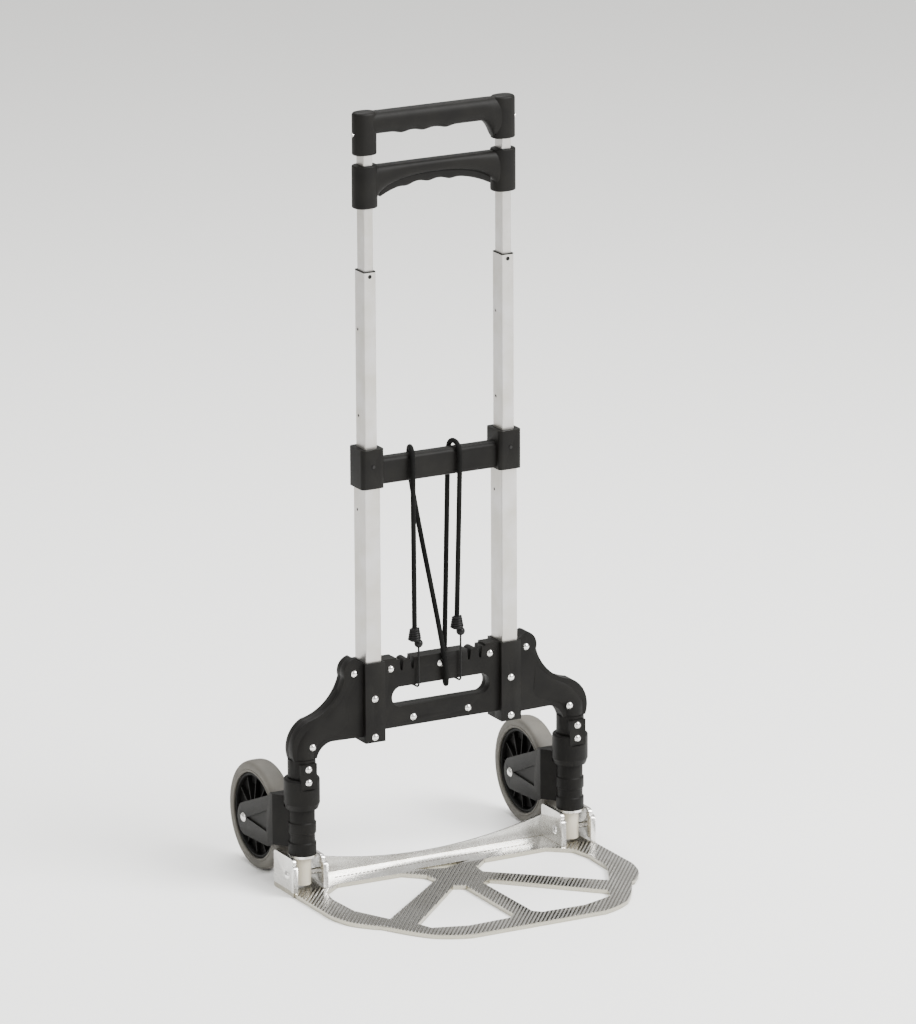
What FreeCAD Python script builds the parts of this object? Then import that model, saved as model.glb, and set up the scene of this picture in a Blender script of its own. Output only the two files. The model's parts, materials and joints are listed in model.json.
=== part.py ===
"""Folding hand truck with a telescoping handle, swing-in wheels and a fold-up toe plate.

Frame: +Z up, the floor at Z = 0, the toe plate pointing to -Y and the wheels to +Y. The origin is
the centre of the footprint. The tubes, posts and base block lie in one vertical plane, X across,
at Y = post_plane; every sub-part is drawn about that plane and then moved there.
"""
import FreeCAD, Part
import math
import os
import Sketcher

V = FreeCAD.Vector
X_AXIS, Y_AXIS, Z_AXIS = V(1, 0, 0), V(0, 1, 0), V(0, 0, 1)

# Driving dimensions in millimetres. Heights are above the floor, depths are from the post plane.
SIZES = {
    "post_plane": 46.9,
    # telescoping tubes
    "tube_spacing": 207.4, "tube_wall": 1.2, "tube_corner": 1.6,
    "outer_width": 23.4, "outer_depth": 32.4, "outer_foot": 206, "outer_head": 598,
    "stage_width": 18.2, "stage_depth": 26.2, "stage_foot": 500, "stage_head": 844.4,
    "inner_width": 14.0, "inner_depth": 20.4, "inner_foot": 748, "inner_head": 1044,
    "slide_gap": 0.3, "bush_lip": 1.4, "bush_drop": 16,
    "nub_radius": 2.8, "nub_height": 838.9, "nub_root": 0.8,
    "detent_radius": 2.0, "detent_depth": 5, "detent_high": 765, "detent_low": 647, "detent_outer": 518,
    "plug_drop": 8, "plug_rise": 12,
    # base block
    "sleeve_width": 30, "sleeve_depth": 40, "sleeve_foot": 198, "sleeve_head": 309,
    "wing_front": 12.5, "wing_rear": 9, "shoulder_span": 131, "shoulder_head": 318,
    "shoulder_edge": 146, "wing_low": 206, "elbow_radius": 17, "post_span": 205.5,
    "rail_foot": 212, "slot_foot": 240, "slot_head": 268, "rail_head": 306, "slot_half": 76,
    "notch_width": 6, "notch_depth": 15, "notch_inner": 43, "notch_outer": 60,
    "notch_taper": 1.5, "notch_round": 1.6, "notch_lip": 3, "notch_bridge": 7,
    "neck_head": 198, "socket_radius": 19, "socket_head": 187, "socket_foot": 160.5, "tongue_foot": 147,
    "tongue_front": 22, "tongue_half": 12, "tongue_thick": 2.6, "tongue_root": 8,
    "rivet_head": 5, "rivet_shank": 2.2, "rivet_dome": 2.6, "rivet_long": 18,
    "sleeve_rivet_high": 258.6, "sleeve_rivet_low": 205.2,
    "shoulder_rivet_span": 130.8, "shoulder_rivet_height": 295.7,
    "rail_rivet_span": 75.8, "rail_rivet_height": 294.6, "middle_rivet_height": 292,
    "grip_rivet_span": 41.8, "grip_rivet_height": 222.8,
    "elbow_rivet_span": 196.4, "elbow_rivet_height": 203.6,
    "tongue_rivet_high": 175.8, "tongue_rivet_low": 157.1,
    "boss_front": 16, "boss_radius": 6.5, "cut_reach": 300,
    # posts, from the ring down to the hinge barrel
    "ring_radius": 24.4, "ring_foot": 117.5, "ring_head": 160.5, "ring_waist": 21.6,
    "pin_radius": 7, "pin_head": 186, "bush_radius": 9, "running_gap": 0.05,
    "hub_radius": 17.3, "rib_radius": 18.9, "hub_head": 116.8, "hub_foot": 53,
    "low_rib_head": 69.4, "high_rib_foot": 83.5, "high_rib_head": 97.6, "rib_slope": 1.5,
    "disc_radius": 18.6, "disc_foot": 49.5, "disc_height": 3.2,
    "barrel_radius": 11.5, "barrel_foot": 10, "pivot_height": 25, "bolt_radius": 4,
    # wheel forks and wheels
    "wheel_radius": 75, "wheel_trail": 117.2, "rim_radius": 58.8, "tyre_half": 15,
    "hub_half": 19.5, "hub_outer": 12, "bearing_radius": 7, "axle_radius": 4,
    "fork_inner": 21.5, "fork_outer": 29.5, "fork_head": 132, "fork_foot": 50,
    "yoke_foot": 61, "yoke_front": 30, "yoke_rear": 38, "arm_radius": 20, "arm_bend": 46,
    "yoke_root": 10.5, "yoke_root_half": 14, "wheel_bush_length": 8,
    "bolt_head_radius": 6.5, "bolt_head_height": 3,
    "recess_depth": 2.5, "recess_root": 48, "recess_tip": 108,
    "recess_foot": 74, "recess_point": 77, "recess_head": 104,
    "window_radius": 8, "window_ring": 36, "rim_web": 4,
    # toe plate
    "plate_thick": 6, "plate_half": 229.9, "plate_front": 286, "plate_rear": 40,
    "ear_gap": 38.8, "ear_thick": 5, "ear_head": 52, "ear_front": 19, "ear_back": 37,
    "flange_thick": 4, "flange_mid": 13, "flange_end": 36, "flange_span": 181.1,
    # tube bracket
    "collar_width": 34, "collar_depth": 40, "collar_foot": 550, "collar_head": 603.8,
    "bar_depth": 20, "bar_foot": 551, "bar_head": 587.6, "collar_corner": 6,
    "screw_height": 580.6, "screw_radius": 2.2, "screw_proud": 0.8, "screw_seat": 0.6,
    # release housing and top handle
    "case_width": 34.4, "case_depth": 29, "case_foot": 930.4, "case_head": 988.5,
    "case_roof": 6, "cavity_width": 13, "leg_corner": 12,
    "arch_foot": 937, "arch_head": 968.5, "arch_half": 88, "bridge_front": 11,
    "trigger_half": 84, "trigger_flat": 62, "trigger_tip": 940, "trigger_low": 953,
    "trigger_head": 970, "trigger_thick": 12, "trigger_arc": 60,
    "rod_radius": 2.5, "rod_foot": 770, "rod_head": 962,
    "spring_radius": 4, "spring_bore": 3, "spring_foot": 963, "spring_head": 999,
    "lock_radius": 1.7, "lock_length": 11, "lock_clearance": 0.5,
    "grip_corner": 7, "grip_foot": 1027.5, "grip_head": 1060, "grip_depth": 27,
    "leg_foot": 1002, "side_screw_height": 1030, "side_screw_radius": 3.2, "side_screw_proud": 1,
    # bungee cord
    "cord_radius": 3.5, "wire_radius": 1.35, "bead_radius": 6, "coil_top": 7, "coil_base": 9.5,
    "ferrule_height": 18.7, "ferrule_drop": 19, "bead_drop": 23, "stem_drop": 28.5,
    "hook_front": 16.5, "hook_rear": 12.5, "hook_low": 264.5, "hook_tip": 288, "hook_bend": 6,
}

doc = FreeCAD.newDocument("hand_truck")
sheet = doc.addObject("Spreadsheet::Sheet", "Sizes")
for row, (alias, value) in enumerate(SIZES.items(), start=1):
    sheet.set(f"A{row}", alias)
    sheet.set(f"B{row}", str(value))
    sheet.setAlias(f"B{row}", alias)
doc.recompute()

NODES = []


def size(expression):
    """Number that an expression over the sheet's aliases gives now."""
    result = sheet.evalExpression(linked(expression))
    return float(getattr(result, "Value", result))


def linked(expression):
    """The same expression with every alias written as a cell of the sheet."""
    text = str(expression)
    for alias in sorted(SIZES, key=len, reverse=True):
        text = replace_word(text, alias)
    return text


def replace_word(text, alias):
    """Put the sheet's name before each whole-word use of an alias."""
    out, rest = "", text
    while alias in rest:
        cut = rest.index(alias)
        end = cut + len(alias)
        before = (out + rest[:cut])[-1:]
        after = rest[end:end + 1]
        whole = not (before.isalnum() or before in ("_", ".")) and not (after.isalnum() or after == "_")
        out += rest[:cut] + (f"Sizes.{alias}" if whole else alias)
        rest = rest[end:]
    return out + rest


def bind(thing, path, expression):
    """Drive one property of an object with an expression over the sheet."""
    thing.setExpression(path, linked(expression))


def node(thing, label, across="0", depth="0", height="0"):
    """Name a finished sub-part, move it into the row frame and list it for export."""
    thing.Label = label
    bind(thing, ".Placement.Base.x", across)
    bind(thing, ".Placement.Base.y", f"post_plane + ({depth})")
    bind(thing, ".Placement.Base.z", height)
    NODES.append(thing)
    return thing


def group(label, solids):
    """One node of identical separate solids, worked out from the sheet and then moved."""
    thing = doc.addObject("Part::Feature", label)
    thing.Shape = Part.makeCompound(solids) if len(solids) > 1 else solids[0]
    thing.Label = label
    thing.Placement = FreeCAD.Placement(V(0, size("post_plane"), 0), FreeCAD.Rotation())
    NODES.append(thing)
    return thing


# --- sketches and solid features ---------------------------------------------------------------

def sketch_on(body, role, lift="0"):
    """Sketch on one of a body's own origin planes, lifted along the plane's normal."""
    sketch = body.newObject("Sketcher::SketchObject", "Sketch")
    plane = [item for item in body.Origin.OriginFeatures if item.Role == role][0]
    sketch.AttachmentSupport = [(plane, "")]
    sketch.MapMode = "FlatFace"
    bind(sketch, ".AttachmentOffset.Base.z", lift)
    return sketch


def pin_point(sketch, edge, end, across, up):
    """Hold one end of an edge at two driven distances from the sketch's origin."""
    for kind, expression in (("DistanceX", across), ("DistanceY", up)):
        index = sketch.addConstraint(Sketcher.Constraint(kind, -1, 1, edge, end, size(expression)))
        bind(sketch, f"Constraints[{index}]", expression)


def outline(sketch, corners):
    """Closed outline through driven corners.

    A corner is (across, up) after a straight side, or (across, up, radius) after an arc: the arc
    turns left as it is travelled for a positive radius and right for a negative one.
    """
    for here, there in zip(corners[-1:] + corners[:-1], corners):
        a = V(size(here[0]), size(here[1]), 0)
        b = V(size(there[0]), size(there[1]), 0)
        if len(there) == 2:
            edge = sketch.addGeometry(Part.LineSegment(a, b), False)
            first, last = 1, 2
        else:
            turn = 1 if size(there[2]) > 0 else -1
            radius = abs(size(there[2]))
            chord = b - a
            side = V(-chord.y, chord.x, 0).normalize() * turn
            centre = (a + b) / 2 + side * math.sqrt(max(radius ** 2 - (chord.Length / 2) ** 2, 0))
            start, stop = (a, b) if turn > 0 else (b, a)
            angles = [math.atan2(p.y - centre.y, p.x - centre.x) for p in (start, stop)]
            circle = Part.Circle(centre, Z_AXIS, radius)
            edge = sketch.addGeometry(Part.ArcOfCircle(circle, angles[0], angles[1]), False)
            first, last = (1, 2) if turn > 0 else (2, 1)
            index = sketch.addConstraint(Sketcher.Constraint("Radius", edge, radius))
            bind(sketch, f"Constraints[{index}]", f"abs({there[2]})")
        pin_point(sketch, edge, first, here[0], here[1])
        pin_point(sketch, edge, last, there[0], there[1])


def with_mirror(half):
    """Corners of half an outline, from the front edge outwards, and the same ones mirrored."""
    mirrored = []
    for index in range(len(half) - 1, -1, -1):
        following = half[index + 1] if index + 1 < len(half) else ()
        mirrored.append((f"-({half[index][0]})", half[index][1]) + tuple(following[2:]))
    return half + mirrored


def rectangle(sketch, left, low, right, high):
    """Rectangle between two driven corners."""
    outline(sketch, [(left, low), (right, low), (right, high), (left, high)])


def rounded(sketch, half_width, half_height, corner, across="0", up="0"):
    """Rectangle with rounded corners about a driven centre."""
    w, t, c = f"({half_width})", f"({half_height})", f"({corner})"
    x, y = f"({across})", f"({up})"
    outline(sketch, [
        (f"{x} + {w} - {c}", f"{y} - {t}"), (f"{x} + {w}", f"{y} - {t} + {c}", c),
        (f"{x} + {w}", f"{y} + {t} - {c}"), (f"{x} + {w} - {c}", f"{y} + {t}", c),
        (f"{x} - {w} + {c}", f"{y} + {t}"), (f"{x} - {w}", f"{y} + {t} - {c}", c),
        (f"{x} - {w}", f"{y} - {t} + {c}"), (f"{x} - {w} + {c}", f"{y} - {t}", c)])


def circle(sketch, across, up, radius):
    """Circle with a driven centre and radius."""
    place = V(size(across), size(up), 0)
    edge = sketch.addGeometry(Part.Circle(place, Z_AXIS, size(radius)), False)
    pin_point(sketch, edge, 3, across, up)
    index = sketch.addConstraint(Sketcher.Constraint("Radius", edge, size(radius)))
    bind(sketch, f"Constraints[{index}]", radius)


def body_named(name):
    """Empty body of a sub-part."""
    return doc.addObject("PartDesign::Body", name)


def pad(body, sketch, length, reverse=False, both=False):
    """Extrude a sketch by a driven length; both spreads it evenly about the sketch's plane."""
    feature = body.newObject("PartDesign::Pad", "Pad")
    feature.Profile = sketch
    feature.Reversed = reverse
    if both:
        feature.SideType = "Symmetric"
    bind(feature, "Length", length)
    return finish_feature(body, feature, 1)


def pocket(body, sketch, length=None, reverse=False):
    """Cut a sketch by a driven length, or with no length right through on both sides."""
    feature = body.newObject("PartDesign::Pocket", "Pocket")
    feature.Profile = sketch
    feature.Reversed = reverse
    if length is None:
        feature.SideType = "Symmetric"
        feature.Type = "ThroughAll"
    else:
        bind(feature, "Length", length)
    return finish_feature(body, feature, -1)


def pocket_width(body, sketch, width):
    """Cut a sketch evenly about its plane to a driven width."""
    feature = body.newObject("PartDesign::Pocket", "Pocket")
    feature.Profile = sketch
    feature.SideType = "Symmetric"
    bind(feature, "Length", width)
    return finish_feature(body, feature, -1)


def spin(body, sketch, axis="V_Axis"):
    """Turn a sketch a full turn about one of its own axes."""
    feature = body.newObject("PartDesign::Revolution", "Revolution")
    feature.Profile = sketch
    feature.ReferenceAxis = (sketch, [axis])
    feature.Angle = 360
    return finish_feature(body, feature, 1)


def finish_feature(body, feature, sign):
    """Recompute, and stop if the feature failed or changed the volume the wrong way."""
    base = feature.BaseFeature
    before = base.Shape.Volume if base else 0.0
    doc.recompute()
    if "Invalid" in feature.State or "Error" in feature.State or feature.Shape.isNull():
        raise SystemExit(f"{body.Name}.{feature.Name} failed: {feature.State} {feature.getStatusString()}")
    if (feature.Shape.Volume - before) * sign <= 0:
        raise SystemExit(f"{body.Name}.{feature.Name} changes nothing")
    return feature


def soften(body, radius, choose):
    """Round the edges of the body's tip that choose(edge) picks."""
    tip = body.Tip
    names = [f"Edge{i}" for i, edge in enumerate(tip.Shape.Edges, start=1) if choose(edge)]
    feature = body.newObject("PartDesign::Fillet", "Fillet")
    feature.Base = (tip, names)
    bind(feature, "Radius", radius)
    doc.recompute()
    if "Invalid" in feature.State or feature.Shape.isNull() or not feature.Shape.isValid():
        raise SystemExit(f"{body.Name} fillet of {len(names)} edges failed")
    return feature


def along(edge, axis):
    """True for a straight edge parallel to an axis."""
    if edge.Curve.TypeId != "Part::GeomLine":
        return False
    return abs(abs(edge.tangentAt(edge.FirstParameter).dot(axis)) - 1) < 1e-6


SIDES = (("left", -1), ("right", 1))
FINGER_BUMPS, FINGER_PITCH, FINGER_HEIGHT = 3, 32, 4
RIM_WINDOWS = 6


def keep_half(body, front, foot, head):
    """Split a moulding at the post plane and keep its front half or its rear half."""
    waste = sketch_on(body, "XY_Plane", foot)
    near, far = ("0", "cut_reach") if front else ("-cut_reach", "0")
    rectangle(waste, "-cut_reach", near, "cut_reach", far)
    pocket(body, waste, f"{head} - ({foot})", reverse=True)


# --- telescoping tubes and their guides ----------------------------------------------------------

def tube(side, sign, stage, width, depth, foot, head, holes):
    """Rectangular drawn tube, with locking holes drilled across it."""
    body = body_named(f"{side}_{stage}_tube")
    section = sketch_on(body, "XY_Plane")
    rounded(section, f"{width} / 2", f"{depth} / 2", "tube_corner")
    rounded(section, f"{width} / 2 - tube_wall", f"{depth} / 2 - tube_wall", "tube_corner / 2")
    pad(body, section, f"{head} - {foot}")
    if holes:
        drill = sketch_on(body, "YZ_Plane")
        for height in holes:
            circle(drill, "detent_depth", f"{height} - {foot}", "detent_radius")
        pocket(body, drill)
    if stage == "middle":
        window = sketch_on(body, "XZ_Plane")
        circle(window, "0", f"nub_height - {foot}", "nub_radius")
        pocket(body, window, f"{depth}", reverse=True)
    return node(body, f"{side}_{stage}_tube", f"{sign} * tube_spacing / 2", "0", foot)


def stage_bush(side, sign):
    """Collar in the middle tube's mouth: a lip on its rim, a sleeve inside and a nub that holds it."""
    body = body_named(f"{side}_stage_bush")
    lip = sketch_on(body, "XY_Plane")
    rounded(lip, "stage_width / 2", "stage_depth / 2", "tube_corner")
    rounded(lip, "inner_width / 2 + slide_gap", "inner_depth / 2 + slide_gap", "tube_corner / 2")
    pad(body, lip, "bush_lip")
    sleeve = sketch_on(body, "XY_Plane")
    rounded(sleeve, "stage_width / 2 - tube_wall", "stage_depth / 2 - tube_wall", "tube_corner / 2")
    rounded(sleeve, "inner_width / 2 + slide_gap", "inner_depth / 2 + slide_gap", "tube_corner / 2")
    pad(body, sleeve, "bush_drop", reverse=True)
    nub = sketch_on(body, "XZ_Plane", "stage_depth / 2 - tube_wall - nub_root")
    circle(nub, "0", "nub_height - stage_head", "nub_radius")
    pad(body, nub, "tube_wall + nub_root")
    return node(body, f"{side}_stage_bush", f"{sign} * tube_spacing / 2", "0", "stage_head")


def guide_plugs(label, tube_width, tube_depth, outer_width, outer_depth, foot):
    """Pair of nylon plugs on the tubes' lower ends that guide them in the next tube out."""
    solids = []
    for _, sign in SIDES:
        centre = sign * size("tube_spacing") / 2
        gap, wall = size("slide_gap"), size("tube_wall")
        for half_x, half_y, low, high in (
                (outer_width / 2 - wall - gap, outer_depth / 2 - wall - gap,
                 foot - size("plug_drop"), foot),
                (tube_width / 2 - wall, tube_depth / 2 - wall, foot, foot + size("plug_rise"))):
            block = Part.makeBox(2 * half_x, 2 * half_y, high - low, V(centre - half_x, -half_y, low))
            upright = [edge for edge in block.Edges if along(edge, Z_AXIS)]
            solids.append(block.makeFillet(size("tube_corner / 2"), upright))
    return group(label, [solids[0].fuse(solids[1]).removeSplitter(),
                         solids[2].fuse(solids[3]).removeSplitter()])


for side, sign in SIDES:
    tube(side, sign, "outer", "outer_width", "outer_depth", "outer_foot", "outer_head",
         ["detent_outer"])
    tube(side, sign, "middle", "stage_width", "stage_depth", "stage_foot", "stage_head",
         ["detent_high", "detent_low"])
    tube(side, sign, "inner", "inner_width", "inner_depth", "inner_foot", "inner_head",
         ["detent_high"])
    stage_bush(side, sign)
guide_plugs("middle_tube_plugs", size("stage_width"), size("stage_depth"),
            size("outer_width"), size("outer_depth"), size("stage_foot"))
guide_plugs("inner_tube_plugs", size("inner_width"), size("inner_depth"),
            size("stage_width"), size("stage_depth"), size("inner_foot"))


# --- base block: two moulded shells riveted round the tube feet ----------------------------------

# Rivets by the depth of their heads' seats and the length of their shanks. A place is across and
# height, and is repeated on the other side unless it is on the middle line.
RIVETS = [
    ("sleeve_depth / 2", "sleeve_depth / 2 - outer_depth / 2", [
        ("tube_spacing / 2", "sleeve_rivet_high"), ("tube_spacing / 2", "sleeve_rivet_low")]),
    ("wing_front", "rivet_long", [
        ("shoulder_rivet_span", "shoulder_rivet_height"), ("rail_rivet_span", "rail_rivet_height"),
        ("grip_rivet_span", "grip_rivet_height"), ("0", "middle_rivet_height")]),
    ("boss_front", "rivet_long", [("elbow_rivet_span", "elbow_rivet_height")]),
    ("tongue_front", "tongue_thick", [
        ("post_span", "tongue_rivet_high"), ("post_span", "tongue_rivet_low")]),
]


def signs(across):
    """Sides that a place is repeated on: one for a place on the middle line."""
    return (1,) if across == "0" else (-1, 1)


def block_outline(body):
    """Face of the block: gooseneck wings, two rails and the hand slot between them."""
    face = sketch_on(body, "XZ_Plane")
    half = [
        ("tube_spacing / 2 - sleeve_width / 2", "rail_foot"),
        ("tube_spacing / 2 - sleeve_width / 2", "sleeve_foot + 4"),
        ("tube_spacing / 2 + sleeve_width / 2", "sleeve_foot + 4"),
        ("tube_spacing / 2 + sleeve_width / 2", "wing_low"),
        ("post_span - elbow_radius - 22", "wing_low + 1"),
        ("post_span - elbow_radius", "socket_head", "-26"),
        ("post_span + elbow_radius", "socket_head"),
        ("post_span - 3", "239", "42"),
        ("shoulder_edge", "291", "-72"),
        ("shoulder_span", "shoulder_head - 1", "20"),
        ("shoulder_span - 12", "sleeve_head"),
        ("slot_half - 8", "sleeve_head"),
        ("slot_half - 8", "rail_head"),
        ("notch_outer + notch_width / 2", "rail_head"),
        ("notch_outer + notch_width / 2 - notch_taper", "rail_head - notch_depth"),
        ("notch_outer - notch_width / 2 + notch_taper", "rail_head - notch_depth", "-notch_round"),
        ("notch_outer - notch_width / 2", "rail_head - notch_lip"),
        ("notch_inner + notch_width / 2", "rail_head - notch_lip", "notch_bridge"),
        ("notch_inner + notch_width / 2 - notch_taper", "rail_head - notch_depth"),
        ("notch_inner - notch_width / 2 + notch_taper", "rail_head - notch_depth", "-notch_round"),
        ("notch_inner - notch_width / 2", "rail_head"),
    ]
    outline(face, with_mirror(half))
    slot_round = "(slot_head - slot_foot) * 0.52"
    outline(face, [
        ("-slot_half + 12", "slot_foot", slot_round), ("slot_half - 12", "slot_foot"),
        ("slot_half - 12", "slot_head", slot_round), ("-slot_half + 12", "slot_head")])
    return face


def base_shell(label, front):
    """One half of the block, split at the post plane, with sleeves, elbows and sockets."""
    body = body_named(label)
    back = not front
    pad(body, block_outline(body), "wing_front" if front else "wing_rear", reverse=back)
    sleeves = sketch_on(body, "XZ_Plane")
    for _, sign in SIDES:
        left, right = sorted((f"{sign} * (tube_spacing / 2 - sleeve_width / 2)",
                              f"{sign} * (tube_spacing / 2 + sleeve_width / 2)"), key=size)
        rectangle(sleeves, left, "sleeve_foot", right, "sleeve_head")
    pad(body, sleeves, "sleeve_depth / 2", reverse=back)
    for foot, head, radius in (("socket_head", "neck_head", "elbow_radius"),
                               ("socket_foot", "socket_head", "socket_radius")):
        barrel = sketch_on(body, "XY_Plane", foot)
        for _, sign in SIDES:
            circle(barrel, f"{sign} * post_span", "0", radius)
        pad(body, barrel, f"{head} - {foot}")
    if front:
        bosses = sketch_on(body, "XZ_Plane", "wing_front - 1")
        for _, sign in SIDES:
            circle(bosses, f"{sign} * elbow_rivet_span", "elbow_rivet_height", "boss_radius")
        pad(body, bosses, "boss_front - wing_front + 1")
        for foot, head, thick in (("socket_foot", "socket_head - 4", "tongue_root"),
                                  ("tongue_foot", "socket_foot + 1", "tongue_thick")):
            tongue = sketch_on(body, "XZ_Plane", "tongue_front")
            for _, sign in SIDES:
                rectangle(tongue, f"{sign} * post_span - tongue_half", foot,
                          f"{sign} * post_span + tongue_half", head)
            pad(body, tongue, thick, reverse=True)
    keep_half(body, front, "tongue_foot - 10", "shoulder_head + 10")
    wells = sketch_on(body, "XY_Plane", "outer_foot")
    for _, sign in SIDES:
        centre = f"{sign} * tube_spacing / 2"
        rectangle(wells, f"{centre} - outer_width / 2", "-outer_depth / 2",
                  f"{centre} + outer_width / 2", "outer_depth / 2")
    pocket(body, wells, "shoulder_head - outer_foot", reverse=True)
    bores = sketch_on(body, "XY_Plane", "socket_foot - 5")
    for _, sign in SIDES:
        circle(bores, f"{sign} * post_span", "0", "pin_radius")
    pocket(body, bores, "pin_head - socket_foot + 5", reverse=True)
    for seat, shank, places in RIVETS:
        if front:
            rivet_holes(body, seat, shank, places)
        elif shank == "rivet_long":
            rivet_holes(body, "0", f"{shank} - {seat}", places)
    return node(body, label)


def rivet_holes(body, lift, depth, places):
    """Blind holes for the shanks of one kind of rivet."""
    holes = sketch_on(body, "XZ_Plane", lift)
    for across, height in places:
        for sign in signs(across):
            circle(holes, f"{sign} * ({across})", height, "rivet_shank")
    pocket(body, holes, depth)


def rivet(across, height, seat, depth):
    """Dome-headed rivet along Y: the head stands on its seat and the shank runs back from it."""
    radius, dome, shank = size("rivet_head"), size("rivet_dome"), size("rivet_shank")
    ball = (radius ** 2 + dome ** 2) / (2 * dome)
    sphere = Part.makeSphere(ball, V(across, -seat - dome + ball, height))
    slab = Part.makeCylinder(radius, dome + 1, V(across, -seat - dome - 1, height), Y_AXIS)
    stem = Part.makeCylinder(shank, depth, V(across, -seat, height), Y_AXIS)
    return sphere.common(slab).fuse(stem).removeSplitter()


for label, front in (("base_front_shell", True), ("base_rear_shell", False)):
    base_shell(label, front)

group("base_rivets", [
    rivet(sign * size(across), size(height), size(seat), size(shank))
    for seat, shank, places in RIVETS for across, height in places for sign in signs(across)])


# --- posts: ring, pin, thrust disc and hinge barrel -----------------------------------------------

def turned(name, profile, label, across="0", depth="0", height="0", plane="XZ_Plane", axis="V_Axis"):
    """Solid of revolution about one of its own axes from a driven profile."""
    body = body_named(name)
    section = sketch_on(body, plane)
    outline(section, profile)
    spin(body, section, axis)
    return node(body, label, across, depth, height)


def post(side, sign):
    """Fixed pieces of one post, stacked on a steel pin that hangs from the base block."""
    centre = f"{sign} * post_span"
    ring = turned(f"{side}_post_ring", [
        ("pin_radius", "ring_foot"), ("ring_waist", "ring_foot"), ("ring_radius", "ring_foot + 8"),
        ("ring_radius", "ring_head - 3"), ("ring_radius - 3", "ring_head", "3"),
        ("pin_radius", "ring_head")], f"{side}_post_ring", centre)
    flat = sketch_on(ring, "XZ_Plane", "tongue_front - tongue_thick")
    rectangle(flat, "-tongue_half - 0.2", "tongue_foot - 0.2", "tongue_half + 0.2", "ring_head + 1")
    pocket(ring, flat, "10", reverse=True)
    turned(f"{side}_post_pin", [
        ("0", "pivot_height + 8"), ("pin_radius - 1", "pivot_height + 8"),
        ("pin_radius", "pivot_height + 9"), ("pin_radius", "pin_head"), ("0", "pin_head")],
        f"{side}_post_pin", centre)
    turned(f"{side}_thrust_disc", [
        ("pin_radius", "disc_foot"), ("disc_radius", "disc_foot"),
        ("disc_radius", "disc_foot + disc_height"), ("pin_radius", "disc_foot + disc_height")],
        f"{side}_thrust_disc", centre)
    barrel = turned(f"{side}_hinge_barrel", [
        ("0", "barrel_foot"), ("barrel_radius - 1", "barrel_foot"),
        ("barrel_radius", "barrel_foot + 1", "1"), ("barrel_radius", "disc_foot"),
        ("pin_radius", "disc_foot"), ("pin_radius", "pivot_height + 8"),
        ("0", "pivot_height + 8")], f"{side}_hinge_barrel", centre)
    cross = sketch_on(barrel, "YZ_Plane")
    circle(cross, "0", "pivot_height", "bolt_radius + running_gap")
    pocket(barrel, cross)
    turned(f"{side}_fork_bush", [
        ("pin_radius + running_gap", "hub_foot"), ("bush_radius", "hub_foot"),
        ("bush_radius", "hub_head"), ("pin_radius + running_gap", "hub_head")],
        f"{side}_fork_bush", centre)


for side, sign in SIDES:
    post(side, sign)


# --- wheel forks and wheels ----------------------------------------------------------------------

def fork(side, sign):
    """Ribbed hub that turns on the post, with a yoke behind it and an arm each side of the wheel."""
    body = body_named(f"{side}_wheel_fork")
    hub = sketch_on(body, "XZ_Plane")
    outline(hub, [
        ("bush_radius", "hub_foot"), ("rib_radius", "hub_foot"), ("rib_radius", "low_rib_head"),
        ("hub_radius", "low_rib_head + rib_slope"), ("hub_radius", "high_rib_foot - rib_slope"),
        ("rib_radius", "high_rib_foot"), ("rib_radius", "high_rib_head"),
        ("hub_radius", "high_rib_head + rib_slope"), ("hub_radius", "hub_head"),
        ("bush_radius", "hub_head")])
    spin(body, hub)
    yoke = sketch_on(body, "XY_Plane", "yoke_foot")
    outline(yoke, [
        ("-yoke_root_half", "yoke_root"), ("yoke_root_half", "yoke_root"),
        ("fork_outer", "yoke_front"), ("fork_outer", "yoke_rear"),
        ("-fork_outer", "yoke_rear"), ("-fork_outer", "yoke_front")])
    pad(body, yoke, "fork_head - yoke_foot")
    arms = sketch_on(body, "YZ_Plane")
    outline(arms, [
        ("yoke_front", "yoke_foot"), ("arm_bend", "fork_foot + 4"),
        ("wheel_trail", "wheel_radius - arm_radius - 4"),
        ("wheel_trail + 7", "wheel_radius + arm_radius - 1.5", "arm_radius + 4"),
        ("yoke_front", "fork_head")])
    pad(body, arms, "2 * fork_outer", both=True)
    gap = sketch_on(body, "YZ_Plane")
    rectangle(gap, "yoke_rear", "fork_foot - 10", "wheel_trail + 60", "fork_head + 10")
    pocket_width(body, gap, "2 * fork_inner")
    front_gap = sketch_on(body, "YZ_Plane")
    rectangle(front_gap, "yoke_front - 5", "fork_foot - 10", "yoke_rear + 1", "yoke_foot")
    pocket_width(body, front_gap, "2 * fork_inner")
    clear = sketch_on(body, "XY_Plane", "hub_head")
    circle(clear, "0", "0", "ring_radius + 0.5")
    pocket(body, clear, "40", reverse=True)
    for way in (-1, 1):
        recess = sketch_on(body, "YZ_Plane", f"{way} * fork_outer")
        outline(recess, [
            ("recess_root", "recess_foot"), ("recess_tip", "recess_point"), ("recess_root", "recess_head")])
        pocket(body, recess, "recess_depth", reverse=way < 0)
    axle = sketch_on(body, "YZ_Plane")
    circle(axle, "wheel_trail", "wheel_radius", "axle_radius")
    pocket(body, axle)
    return node(body, f"{side}_wheel_fork", f"{sign} * post_span")


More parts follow.
